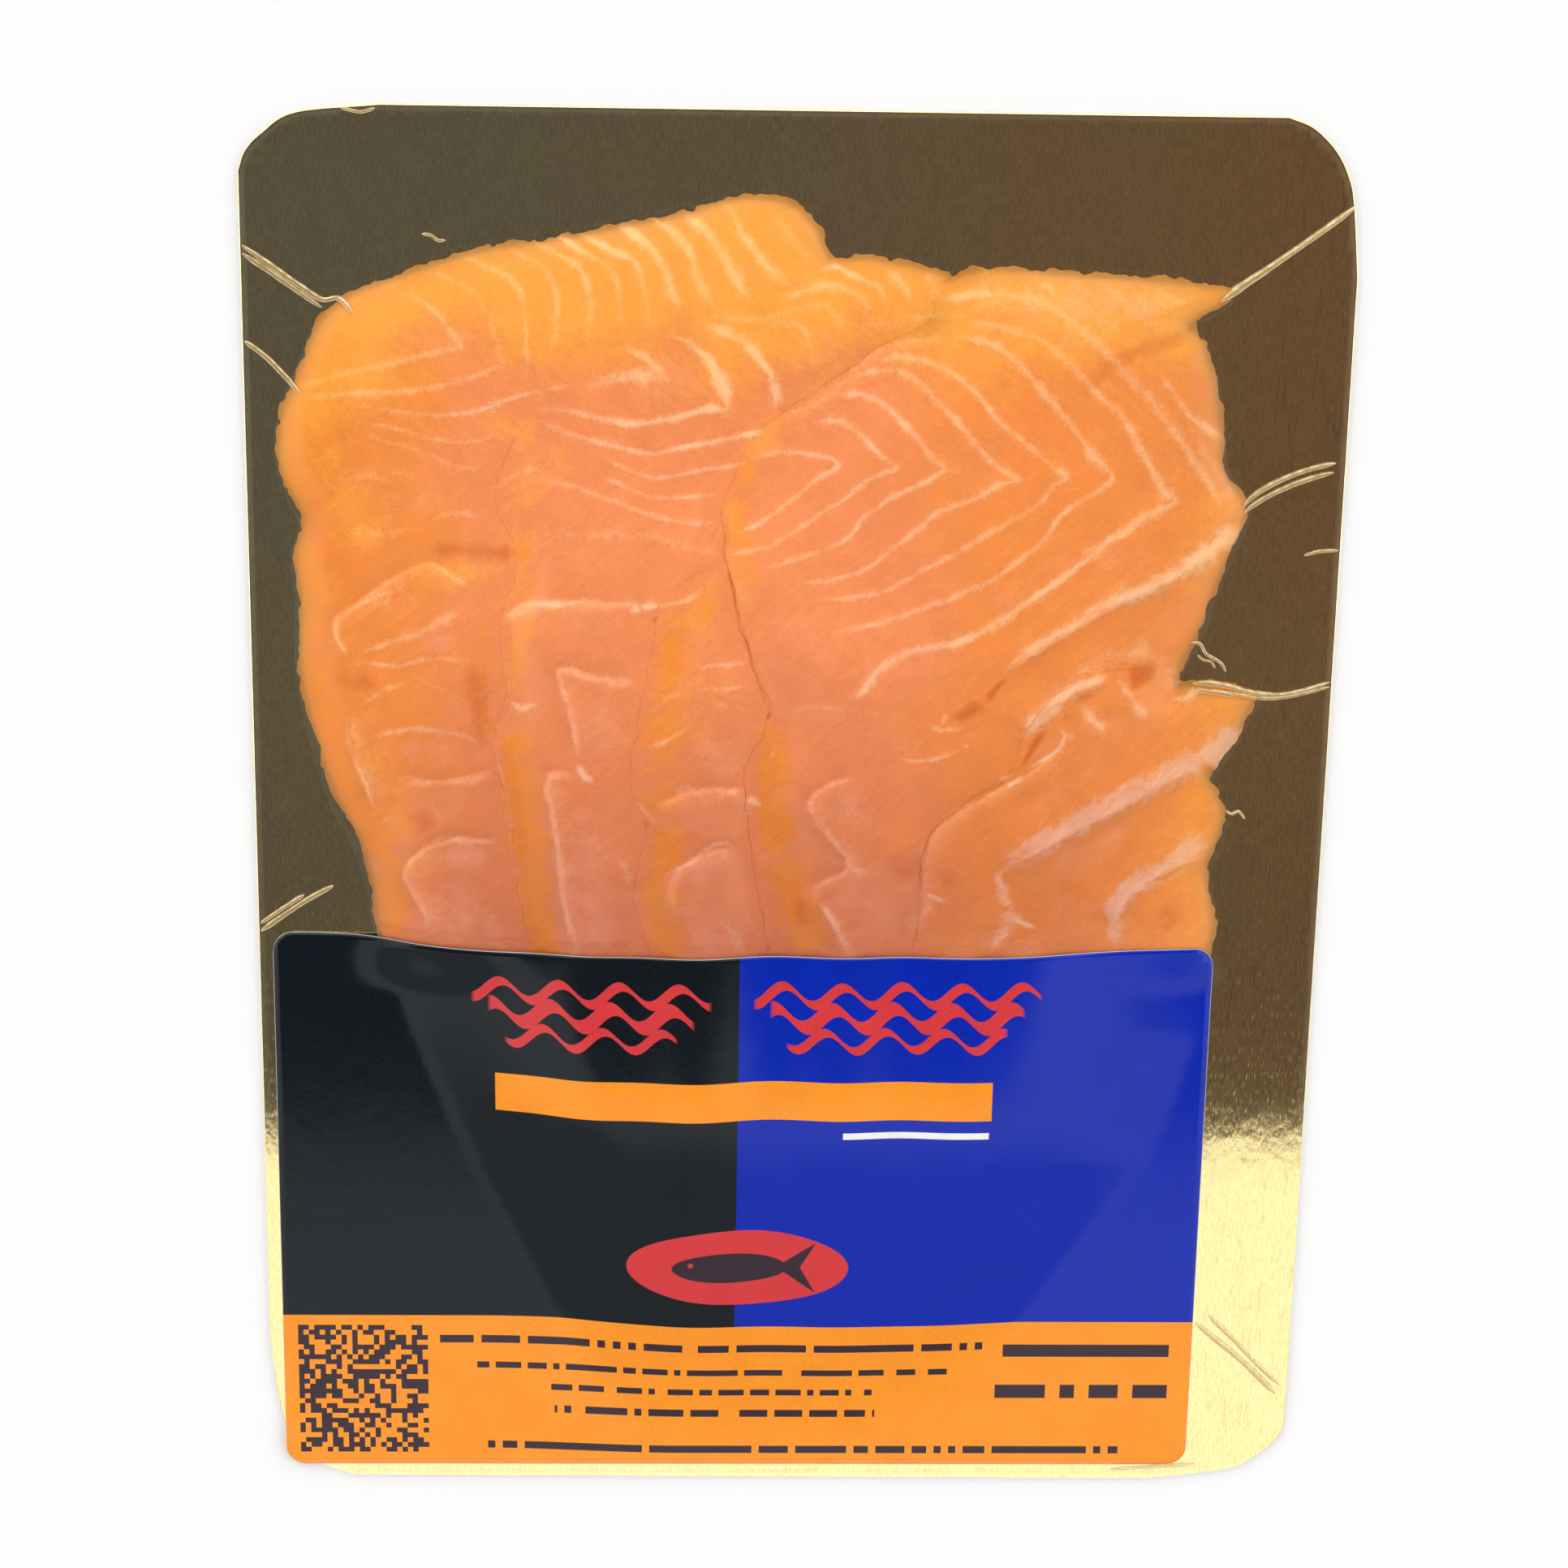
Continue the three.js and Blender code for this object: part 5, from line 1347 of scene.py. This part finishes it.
def label_finish(props):
    """Printed paper: fields of black, blue and orange, a bar, an oval, waves and plain dashes."""
    material, shader, g = new_material("printed label")
    place = g.place()
    x, y, _ = g.split(place)
    box_tree = print_box_group()
    colours = {
        key: opaque(getattr(props, key))
        for key in ("black", "blue", "orange", "red", "ink", "paper")
    }

    def box(cx, cy, half_w, half_h, blur=0.1):
        sizes = {"Half Width": half_w, "Half Height": half_h, "Blur": blur}
        return g.group(box_tree, {"X": x, "Y": y, "Centre X": cx, "Centre Y": cy, **sizes})["Mask"]

    def paint(colour, mask, top):
        return g.mix(mask, colour, top)

    band_top = -75.2
    colour = paint(colours["black"], g.ramp(x, -7.35, -7.25), colours["blue"])
    colour = paint(colour, box(-6.45, -38.75, 35.95, 2.98), colours["orange"])
    colour = paint(colour, box(18.6, -44.1, 10.6, 0.5), colours["paper"])

    # waves in two runs, in place of a name
    for start, end, first in ((-45.5, -11.5, 0.4), (-5.0, 36.0, 2.2)):
        along = g.math("MULTIPLY_ADD", x, 2 * math.pi / 8.6, first)
        for row, (height, half) in enumerate(((-22.6, 0.75), (-26.0, 1.1), (-29.5, 0.7))):
            crest = g.math("MULTIPLY_ADD", g.math("SINE", g.math("ADD", along, row * 0.9)), 1.35, height)
            beat = g.math("COSINE", g.math("ADD", along, row * 0.9))
            swell = g.math("MULTIPLY_ADD", beat, 0.45 * half, half)
            away = g.math("ABSOLUTE", g.math("SUBTRACT", y, crest))
            ribbon = g.math("DIVIDE", g.math("SUBTRACT", swell, away), 0.1, clamp=True)
            inset = row * 2.4
            ends = box((start + end) / 2, height, (end - start) / 2 - inset, 4.0, 0.6)
            colour = paint(colour, g.math("MULTIPLY", ribbon, ends), colours["red"])

    # the lower print sits a little lower where the slices lift the label
    y = g.math("ADD", y, g.ramp(x, -45.0, -15.0, 0.0, 0.85))
    colour = paint(colour, g.ramp(y, band_top + 0.06, band_top - 0.06), colours["orange"])

    # the oval with a plain fish shape
    def oval(cx, cy, rx, ry, blur):
        far = g.math(
            "ADD",
            g.math("POWER", g.math("DIVIDE", g.math("SUBTRACT", x, cx), rx), 2.0),
            g.math("POWER", g.math("DIVIDE", g.math("SUBTRACT", y, cy), ry), 2.0),
        )
        return g.math("DIVIDE", g.math("SUBTRACT", 1.0, far), blur, clamp=True)

    level = -65.0
    colour = paint(colour, oval(-7.0, level, 16.4, 6.3, 0.02), colours["red"])
    body = oval(-8.2, level, 8.6, 2.5, 0.06)
    tail_x = g.math("SUBTRACT", x, -0.9)
    fan = g.math("MULTIPLY_ADD", tail_x, 0.72, 0.35)
    away = g.math("ABSOLUTE", g.math("SUBTRACT", y, level))
    notch = g.math("SUBTRACT", 4.6, g.math("MULTIPLY", g.math("SUBTRACT", 2.6, away), 0.55))
    tail = g.math("DIVIDE", g.math("SUBTRACT", fan, away), 0.1, clamp=True)
    tail = g.math("MULTIPLY", tail, g.math("DIVIDE", g.math("SUBTRACT", notch, tail_x), 0.1, clamp=True))
    tail = g.math("MULTIPLY", tail, g.math("GREATER_THAN", tail_x, -1.5))
    eye = oval(-13.9, level + 0.6, 0.45, 0.45, 0.3)
    fish = g.math("SUBTRACT", g.math("MAXIMUM", body, tail), eye, clamp=True)
    colour = paint(colour, fish, colours["ink"])

    # plain dashes in place of the small print
    for cx, cy, half_w, half_h, pace in (
        (-10.5, -79.0, 40.5, 0.62, 1.15), (-10.0, -83.2, 35.5, 0.5, 0.95), (-10.5, -86.6, 24.0, 0.5, 0.95),
        (-10.0, -90.2, 24.0, 0.6, 1.05), (3.5, -96.3, 47.5, 0.6, 1.1), (45.0, -79.9, 13.0, 1.0, 2.2),
        (45.0, -86.6, 13.0, 1.1, 2.2),
    ):
        cell = g.math("FLOOR", g.math("DIVIDE", x, pace))
        row = g.node("ShaderNodeTexWhiteNoise", {"W": g.math("ADD", cell, cy * 7.0)}, noise_dimensions="1D")
        dash = g.math("GREATER_THAN", row, 0.22)
        colour = paint(colour, g.math("MULTIPLY", dash, box(cx, cy, half_w, half_h)), colours["ink"])

    # a square of scattered modules
    cells = g.product(place, (1.25, 1.25, 0.0))
    cells = g.node("ShaderNodeVectorMath", {0: cells}, operation="FLOOR")
    scatter = g.node("ShaderNodeTexWhiteNoise", {"Vector": cells}, noise_dimensions="3D")
    module = g.math("GREATER_THAN", scatter, 0.47)
    colour = paint(colour, g.math("MULTIPLY", module, box(-62.4, -87.2, 9.6, 10.4, 0.02)), colours["ink"])

    # the cut edge shows bare paper
    y = g.split(place)[1]
    mid = ((LABEL["left"] + LABEL["right"]) / 2, (LABEL["top"] + LABEL["bottom"]) / 2)
    r = LABEL["corner"]
    half = ((LABEL["right"] - LABEL["left"]) / 2 - r, (LABEL["top"] - LABEL["bottom"]) / 2 - r)
    out_x = g.math("ABSOLUTE", g.math("SUBTRACT", x, mid[0]))
    out_x = g.math("MAXIMUM", g.math("SUBTRACT", out_x, half[0]), 0.0)
    dip = g.math("MULTIPLY", g.ramp(x, *LABEL_DIP[1:], 0.0, LABEL_DIP[0]), g.ramp(y, mid[1], mid[1] + 20))
    out_y = g.math("SUBTRACT", g.math("ADD", y, dip), mid[1])
    out_y = g.math("MAXIMUM", g.math("SUBTRACT", g.math("ABSOLUTE", out_y), half[1]), 0.0)
    corner = g.math("SQRT", g.math("ADD", g.math("POWER", out_x, 2.0), g.math("POWER", out_y, 2.0)))
    cut = g.ramp(corner, r - 0.1, r - 0.04)
    colour = paint(colour, g.math("MULTIPLY", cut, 0.6), colours["paper"])
    grain = g.group(grain_group(), {"Vector": place, "Coarse": 7.0, "Fine": 0.35})
    speckled = g.ramp(grain["Speckle"], 0.3, 0.7, -0.05, 0.05)
    tone = g.math("ADD", speckled, g.ramp(grain["Mottle"], 0.3, 0.7, 0.96, 1.03))
    colour = g.scaled(colour, tone)
    feed(
        g, shader, Base_Color=colour, Roughness=g.ramp(grain["Speckle"], 0.3, 0.7, 0.08, 0.13), IOR=1.34,
        Normal=g.bump(g.math("MULTIPLY_ADD", grain["Speckle"], 0.06, grain["Mottle"]), 0.02 * MM),
    )
    return material


def floor_finish(props):
    material, shader, g = new_material("pale floor")
    cloud = g.noise(g.place(), 160.0, 2.0)
    colour = g.mix(cloud, opaque(props.floor, 0.985), opaque(props.floor))
    feed(g, shader, Base_Color=colour, Roughness=0.7)
    return material


# ---- Settings a user would change ----


def colour_setting(name, description, default):
    return FloatVectorProperty(
        name=name, description=description, default=default, subtype="COLOR", min=0.0, max=1.0
    )


def share_setting(name, description, default):
    return FloatProperty(name=name, description=description, default=default, min=0.0, max=1.0)


def length_setting(name, description, default, smallest):
    return FloatProperty(
        name=name, description=description, default=default, min=smallest, unit="LENGTH"
    )


class SALMONPACK_PG_card(PropertyGroup):
    foil: colour_setting("Foil", "Colour that the foil gives back", (0.95, 0.79, 0.38))
    core: colour_setting("Core", "Board between the two foils", (0.86, 0.84, 0.78))
    foil_roughness: share_setting("Foil Roughness", "Blur of the foil's reflections", 0.045)
    bevel: length_setting("Edge", "Rounding of the die-cut edge", 0.00014, 0.0)


class SALMONPACK_PG_slices(PropertyGroup):
    pink: colour_setting("Pink", "Flesh in the middle of a slice", (0.86, 0.268, 0.096))
    amber: colour_setting("Amber", "Flesh towards the sides", (0.86, 0.267, 0.055))
    gold: colour_setting("Gold", "Flesh near the outer edge", (0.95, 0.37, 0.06))
    smoke: colour_setting("Smoked", "Flesh browned by the smoke", (0.9, 0.28, 0.036))
    # the colour of the painted shade in creases and under folds, and of darker spots
    crease: colour_setting("Crease", "Folds and dark spots", (0.68, 0.155, 0.028))
    pale: colour_setting("Pale", "Paler flakes", (0.9, 0.33, 0.155))
    # the fat colours also serve the painted highlights and the painted light on flake lips
    fat: colour_setting("Fat", "Fat lines in golden flesh", (1.0, 0.59, 0.235))
    fat_deep: colour_setting("Fat in pink", "Fat lines in pink flesh", (0.98, 0.54, 0.3))
    band: colour_setting("Fat bands", "Broad bands of fat", (0.86, 0.45, 0.28))
    # the dark fringe of the thin rim: partly the foil showing through, partly painted shade
    rim: colour_setting("Rim", "Flesh so thin that the foil shows through", (0.37, 0.17, 0.036))
    cell: length_setting("Cell", "Spacing of the mesh before it is refined", 0.00125, 0.0008)
    refine: IntProperty(
        name="Refine", description="Cuts of each edge where the flesh shows", default=3, min=0, max=4
    )


class SALMONPACK_PG_film(PropertyGroup):
    film_gloss: share_setting("Film Gloss", "Share of light that the film throws back face on", 0.006)
    # the pale painted reflection along a pleat's flanks
    pleat: colour_setting("Pleat", "Gathered film seen edge on", (0.93, 0.82, 0.58))
    cell: length_setting("Cell", "Spacing of the film's mesh", 0.001, 0.0005)


class SALMONPACK_PG_label(PropertyGroup):
    black: colour_setting("Black", "Left field", (0.004, 0.007, 0.0105))
    blue: colour_setting("Blue", "Right field", (0.0009, 0.018, 0.37))
    orange: colour_setting("Orange", "Lower band and bar", (0.885, 0.28, 0.017))
    red: colour_setting("Red", "Oval and waves", (0.6, 0.04, 0.045))
    ink: colour_setting("Ink", "Small print", (0.035, 0.02, 0.03))
    paper: colour_setting("Paper", "Bare paper", (0.8, 0.79, 0.78))


class SALMONPACK_PG_stage(PropertyGroup):
    floor: colour_setting("Floor", "Plain floor", (0.873, 0.877, 0.882))
    light: FloatProperty(name="Light", description="Brightness of the studio's walls", default=2.03, min=0.0)


GROUPS = (
    SALMONPACK_PG_card, SALMONPACK_PG_slices, SALMONPACK_PG_film, SALMONPACK_PG_label,
    SALMONPACK_PG_stage,
)


def stored_as(group):
    """The name of the scene property that holds a group's settings."""
    return "salmonpack_" + group.__name__.rsplit("_", 1)[-1]


def setting(name):
    return getattr(bpy.context.scene, f"salmonpack_{name}")


@cache
def heights():
    """The pile's height fields, worked out once."""
    return Heights()


# ---- Operators ----


class SALMONPACK_OT_card(Operator):
    """Build the gold foil card"""

    bl_idname = "salmonpack.card"
    bl_label = "Card"

    def execute(self, context):
        props = setting("card")
        outline = card_outline()[::-1]
        start_afresh()
        bpy.ops.mesh.primitive_circle_add(vertices=len(outline), radius=1, fill_type="NGON")
        piece = context.object
        piece.name = piece.data.name = "foil_card"
        put_coords(piece.data, np.column_stack((outline * MM, np.zeros(len(outline)))))
        close_upwards(CARD_THICK * MM)
        edge = piece.modifiers.new("edge", "BEVEL")
        edge.width = props.bevel
        edge.segments = 3
        edge.limit_method = "ANGLE"
        edge.angle_limit = math.radians(60)
        bpy.ops.object.modifier_apply(modifier=edge.name)
        bpy.ops.object.shade_smooth_by_angle(angle=math.radians(40))
        finish_piece(piece, "card", "foil_card", foil_finish(props), core_finish(props))
        mesh = piece.data
        normals = np.empty(len(mesh.polygons) * 3)
        mesh.polygons.foreach_get("normal", normals)
        level = np.abs(normals.reshape(-1, 3)[:, 2])
        mesh.polygons.foreach_set("material_index", np.where(level > 0.25, 0, 1))
        mesh.polygons.foreach_set("use_smooth", level < 0.999)
        return {"FINISHED"}


class SALMONPACK_OT_slices(Operator):
    """Build the five slices of smoked salmon"""

    bl_idname = "salmonpack.slices"
    bl_label = "Slices"

    def execute(self, context):
        props = setting("slices")
        flesh = flesh_finish(props)
        names = list(SLICES)
        for i, name in enumerate(names):
            self.build(name, names[i + 1 :], props, flesh)
        return {"FINISHED"}

    def build(self, name, above, props, flesh):
        field = heights()
        outline = field.outline[name]
        step = props.cell / MM
        piece = add_grid(f"salmon_{name}", outline.min(0) - step, outline.max(0) + step, step)
        trim_to(piece, outline)
        close_upwards(MM)

        # a finer mesh where the flesh shows, and a little way under what covers it
        mesh = piece.data
        centres = face_centres(mesh) / MM
        x, y = centres[:, 0], centres[:, 1]
        shows = (centres[:, 2] > 0.9) & ((y > LABEL["top"] - 6) | (x > LABEL["right"] - 4))
        for other in above:
            shows &= Raster.read(field.depth[other], x, y) < 2.5
        if props.refine and shows.any():
            select_faces(mesh, shows)
            with edit_mode():
                bpy.ops.mesh.subdivide(number_cuts=props.refine)

        mesh = piece.data
        co = coords(mesh) / MM
        top = co[:, 2] > 0.5
        outer = ease(Raster.read(field.under[name], co[:, 0], co[:, 1]), 1.7, 0.95)
        self.fray(co, top, outline, name, outer)
        spec = SLICES[name]
        under = Raster.read(field.under[name], co[:, 0], co[:, 1])
        depth = np.maximum(Raster.read(field.depth[name], co[:, 0], co[:, 1]), 0)
        face = under + Heights.thickness(spec, depth, co[:, 0], co[:, 1])
        swell = surface_relief(co[:, 0], co[:, 1], face) * ease(depth, *SWELL_FROM)
        co[:, 2] = np.where(top, np.maximum(face + swell, under + 0.02), under - 0.03 * np.exp(-depth))
        cap = Raster.read(field.cap, co[:, 0], co[:, 1]) - 0.06 * len(above) - 0.04
        co[:, 2] = np.minimum(co[:, 2], np.where(top, cap, cap - 0.03))
        put_coords(mesh, co * MM)
        self.paint(mesh, co, depth, outer)
        bpy.ops.object.shade_smooth_by_angle(angle=math.radians(50))
        finish_piece(piece, name, "salmon", flesh)

    @staticmethod
    def fray(co, top, outline, name, outer):
        """Makes the cut rim ragged: it wanders in and out, with small tears where it lies on the card."""
        foot, normal = np.empty((len(co), 2)), np.empty((len(co), 2))
        for rows in np.array_split(np.arange(len(co)), len(co) // 8000 + 1):
            foot[rows], normal[rows] = nearest_on(co[rows, :2], outline)
        gap = np.linalg.norm(co[:, :2] - foot, axis=1)
        seed = sum(map(ord, name))
        wave = lambda size, more: ripple(foot[:, 0], foot[:, 1], size, seed + more)
        wander = 0.36 * wave(2.6, 0) + 0.2 * wave(1.1, 1) + 0.14 * wave(0.6, 2)
        tears = outer * (0.16 * wave(0.8, 3) - 0.45 * ease(wave(1.5, 4), 0.45, 0.8))
        shift = (wander + tears - np.where(top, 0, 0.2 * outer)) * (1 - ease(gap, 0, 1.6))
        co[:, :2] += normal * shift[:, None]

    @staticmethod
    def paint(mesh, co, depth, outer):
        """Stores at each vertex how fat, golden, smoked or pale the flesh is, with painted highlights among
        the fat lines, painted shade in creases and along the thin rim, and painted light and shade at the
        flakes' lips.
        """
        x, y = drawn_place(co[:, 0], co[:, 1], co[:, 2])
        warm = ripple(x, y, 9.0, 11)
        gold = np.maximum(ease(y + 3 * warm, 58, 81), ease(y - x + 4 * warm, 112, 134))
        left_rim = 0.6 * ease(-x + 2 * warm, 61, 69) * ease(y, 0, 40)
        right_rim = ease(x + 2 * warm, 46, 62) * 0.5
        edging = 0.45 * outer * np.exp(-((depth / 2.8) ** 2)) * (0.8 + 0.4 * warm)
        tip = 0.42 * np.exp(-(((x - 57) / 8) ** 2) - ((y - 19.5) / 4) ** 2)
        torn = 0.6 * np.exp(-(((x + 47) / 7) ** 2) - ((y - 38.5) / 2.5) ** 2)
        gold = np.maximum.reduce((gold, left_rim, right_rim, edging, tip, torn, stroke_field(x, y, GILDED)))
        left = ease(-x + 4 * warm, 40, 56) * ease(y, -14, 20)
        right = ease(x + 5 * warm, 6, 32) * 0.8
        amber = np.maximum.reduce((left, right, 0.6 * ease(y + 4 * warm, 58, 72)))
        for name, values in (
            # fat lines and a few painted highlights
            ("fat", stroke_field(x, y, FAT_LINES_AND_HIGHLIGHTS, widen=1.32)),
            ("band", stroke_field(x, y, FAT_BANDS, firm=3.5)),
            ("gold", gold),
            ("smoke", stroke_field(x, y, SMOKED, firm=3)),
            # painted shade in creases and under folds, and darker spots
            ("crease", stroke_field(x, y, CREASE_SHADE_AND_SPOTS)),
            ("pale", stroke_field(x, y, PALE)),
            ("amber", amber),
            # the thin rim over the card: partly the foil showing through, partly painted shade
            ("rim", outer * (0.55 * np.exp(-((depth / 0.7) ** 2)) + 0.45 * np.exp(-((depth / 2.6) ** 2)))),
            # painted light on the flakes' lips and painted shade in the hollows before them
            ("lip_light_and_shade", fold_lips(x, y)),
        ):
            layer = mesh.attributes.new(name, "FLOAT", "POINT")
            layer.data.foreach_set("value", values.astype(np.float32))


class SALMONPACK_OT_film(Operator):
    """Build the clear film and its pleats"""

    bl_idname = "salmonpack.film"
    bl_label = "Film"

    def execute(self, context):
        props = setting("film")
        field = heights()
        outline = card_outline(FILM_INSET)[::-1]
        piece = add_grid("clinging_film", outline.min(0), outline.max(0), props.cell / MM)
        trim_to(piece, outline)
        co = coords(piece.data)
        co[:, 2] = Raster.read(field.film, co[:, 0] / MM, co[:, 1] / MM) * MM
        put_coords(piece.data, co)
        thicken(piece, FILM_THICK * MM)
        finish_piece(piece, "film", "clear_film", film_finish(props))
        gathered = pleat_finish(props)
        for number, (half, tall, points) in enumerate(PLEATS, 1):
            self.pleat(f"film_pleat_{number:02d}", half, tall, points, gathered)
        return {"FINISHED"}

    @staticmethod
    def pleat(name, half, tall, points, material):
        """A ball drawn out along the pleat's line, so that it tapers to both ends."""
        line = smooth_line(points, step=0.5)
        passed = np.concatenate(([0], np.cumsum(np.linalg.norm(np.diff(line, axis=0), axis=1))))
        rings = int(np.clip(passed[-1] / 0.45, 12, 60))
        start_afresh()
        bpy.ops.mesh.primitive_uv_sphere_add(segments=14, ring_count=rings, radius=1)
        piece = bpy.context.object
        piece.name = piece.data.name = name
        ball = coords(piece.data)
        share = (1 - ball[:, 2]) / 2
        share = np.arccos(np.clip(1 - 2 * share, -1, 1)) / math.pi

        def spot(further):
            """The place on the line this far past each vertex's own."""
            at = np.clip(share * passed[-1] + further, 0, passed[-1])
            return np.stack([np.interp(at, passed, line[:, k]) for k in (0, 1)], 1)

        place = spot(0.0)
        way = spot(0.3) - spot(-0.3)
        way /= np.linalg.norm(way, axis=1)[:, None]
        across = np.stack((-way[:, 1], way[:, 0]), 1)
        ring = np.hypot(ball[:, 0], ball[:, 1])
        full = np.minimum(1, np.sqrt(np.clip(np.minimum(share, 1 - share) / 0.12, 0, 1)))
        half = between(pair(half), ease(share, 0, 0.7))
        side = np.where(ring > 1e-6, ball[:, 0] / np.maximum(ring, 1e-6), 0) * half * full
        up = np.where(ring > 1e-6, ball[:, 1] / np.maximum(ring, 1e-6), 0)
        wobble = 1 + 0.12 * ripple(share * passed[-1], share * 0, 2.2, int(name[-2:]))
        place = place + across * (side * wobble)[:, None]
        base = Raster.read(heights().film, place[:, 0], place[:, 1]) + FILM_THICK
        lift = np.where(up > 0, up * tall * full * wobble, up * 0.05)
        put_coords(piece.data, np.column_stack((place, base + lift + 0.03)) * MM)
        with edit_mode():
            turn_outwards()
        bpy.ops.object.shade_smooth()
        finish_piece(piece, None, "clear_film", material)


class SALMONPACK_OT_label(Operator):
    """Build the printed label"""

    bl_idname = "salmonpack.label"
    bl_label = "Label"

    def execute(self, context):
        props = setting("label")
        outline = label_outline()
        piece = add_grid("printed_label", outline.min(0), outline.max(0), 1.0)
        trim_to(piece, outline, rounds=4)
        co = coords(piece.data)
        lift = FILM_THICK + CLEARANCE
        co[:, 2] = (Raster.read(heights().film, co[:, 0] / MM, co[:, 1] / MM) + lift) * MM
        put_coords(piece.data, co)
        thicken(piece, LABEL_THICK * MM)
        finish_piece(piece, "label", "label", label_finish(props))
        return {"FINISHED"}


class SALMONPACK_OT_stage(Operator):
    """Build the floor, the studio light and the camera"""

    bl_idname = "salmonpack.stage"
    bl_label = "Stage"

    def execute(self, context):
        props = setting("stage")
        start_afresh()
        bpy.ops.mesh.primitive_plane_add(size=6, location=(0, 0, 0))
        floor = context.object
        floor.name = "floor"
        floor.data.materials.append(floor_finish(props))
        self.light(context, props)
        data = bpy.data.cameras.new("camera")
        data.sensor_width = CAMERA_SENSOR
        data.lens = CAMERA_LENS
        data.clip_start = 0.01
        camera = bpy.data.objects.new("camera", data)
        context.scene.collection.objects.link(camera)
        camera.location = [value * MM for value in SIGHT]
        camera.rotation_mode = "ZYX"
        camera.rotation_euler = Euler([math.radians(a) for a in CAMERA_TURN], "ZYX")
        context.scene.camera = camera
        context.scene.view_settings.view_transform = "Standard"
        return {"FINISHED"}

    @staticmethod
    def light(context, props):
        """A white studio all round with a dark patch overhead, as above a copy stand."""
        world = bpy.data.worlds.new("studio")
        context.scene.world = world
        world.use_nodes = True
        tree = world.node_tree
        tree.nodes.clear()
        g = Graph(tree)
        way = g.node("ShaderNodeTexCoord", out=0)
        x, y, z = g.split(way)
        edge = math.radians(22.2)
        front = g.math("ADD", g.math("MULTIPLY", y, -math.cos(edge)), g.math("MULTIPLY", z, -math.sin(edge)))
        near_front = g.ramp(front, -0.2, 0.0)
        in_front = g.ramp(front, -0.0035, 0.005)
        low = g.ramp(z, 0.86, 0.74)
        warm = g.ramp(x, -0.06, 0.2)
        dark = g.mix(warm, (0.051, 0.049, 0.057, 1), (0.068, 0.045, 0.039, 1))
        dark = g.mix(g.math("MULTIPLY", near_front, 0.2), dark, (0.19, 0.16, 0.14, 1))
        bright = g.mix(g.ramp(y, -0.5, 0.5), (1.0, 0.99, 0.97, 1), (1.0, 1.0, 1.0, 1))
        colour = g.mix(g.math("MAXIMUM", in_front, low), dark, bright)
        power = g.mix(g.ramp(y, -0.9, -0.74), (1.0, 1.0, 1.0, 1), (0.3, 0.3, 0.3, 1))
        power = g.mix(g.ramp(y, -0.56, -0.47), power, (0.62, 0.62, 0.62, 1))
        power = g.mix(g.ramp(y, -0.36, -0.2), power, (1.0, 1.0, 1.0, 1))
        lit = g.product(colour, power)
        shine = g.node("ShaderNodeBackground", {"Color": lit, "Strength": props.light})
        out = tree.nodes.new("ShaderNodeOutputWorld")
        tree.links.new(shine, out.inputs[0])


class SALMONPACK_PT_panel(Panel):
    """Lists the pack's parts and their settings"""

    bl_idname = "SALMONPACK_PT_panel"
    bl_label = "Salmon Pack"
    bl_space_type = "VIEW_3D"
    bl_region_type = "UI"
    bl_category = "Salmon Pack"

    def draw(self, context):
        for group, operator in zip(GROUPS, OPERATORS):
            box = self.layout.box()
            box.operator(operator.bl_idname)
            for key in group.__annotations__:
                box.prop(getattr(context.scene, stored_as(group)), key)


OPERATORS = (
    SALMONPACK_OT_card, SALMONPACK_OT_slices, SALMONPACK_OT_film, SALMONPACK_OT_label,
    SALMONPACK_OT_stage,
)


def register():
    for cls in (*GROUPS, *OPERATORS, SALMONPACK_PT_panel):
        bpy.utils.register_class(cls)
    for group in GROUPS:
        setattr(bpy.types.Scene, stored_as(group), PointerProperty(type=group))


def unregister():
    for group in GROUPS:
        delattr(bpy.types.Scene, stored_as(group))
    for cls in reversed((*GROUPS, *OPERATORS, SALMONPACK_PT_panel)):
        bpy.utils.unregister_class(cls)


def main():
    register()
    bpy.ops.salmonpack.card()
    bpy.ops.salmonpack.slices()
    bpy.ops.salmonpack.film()
    bpy.ops.salmonpack.label()
    bpy.ops.salmonpack.stage()


if __name__ == "__main__":
    main()
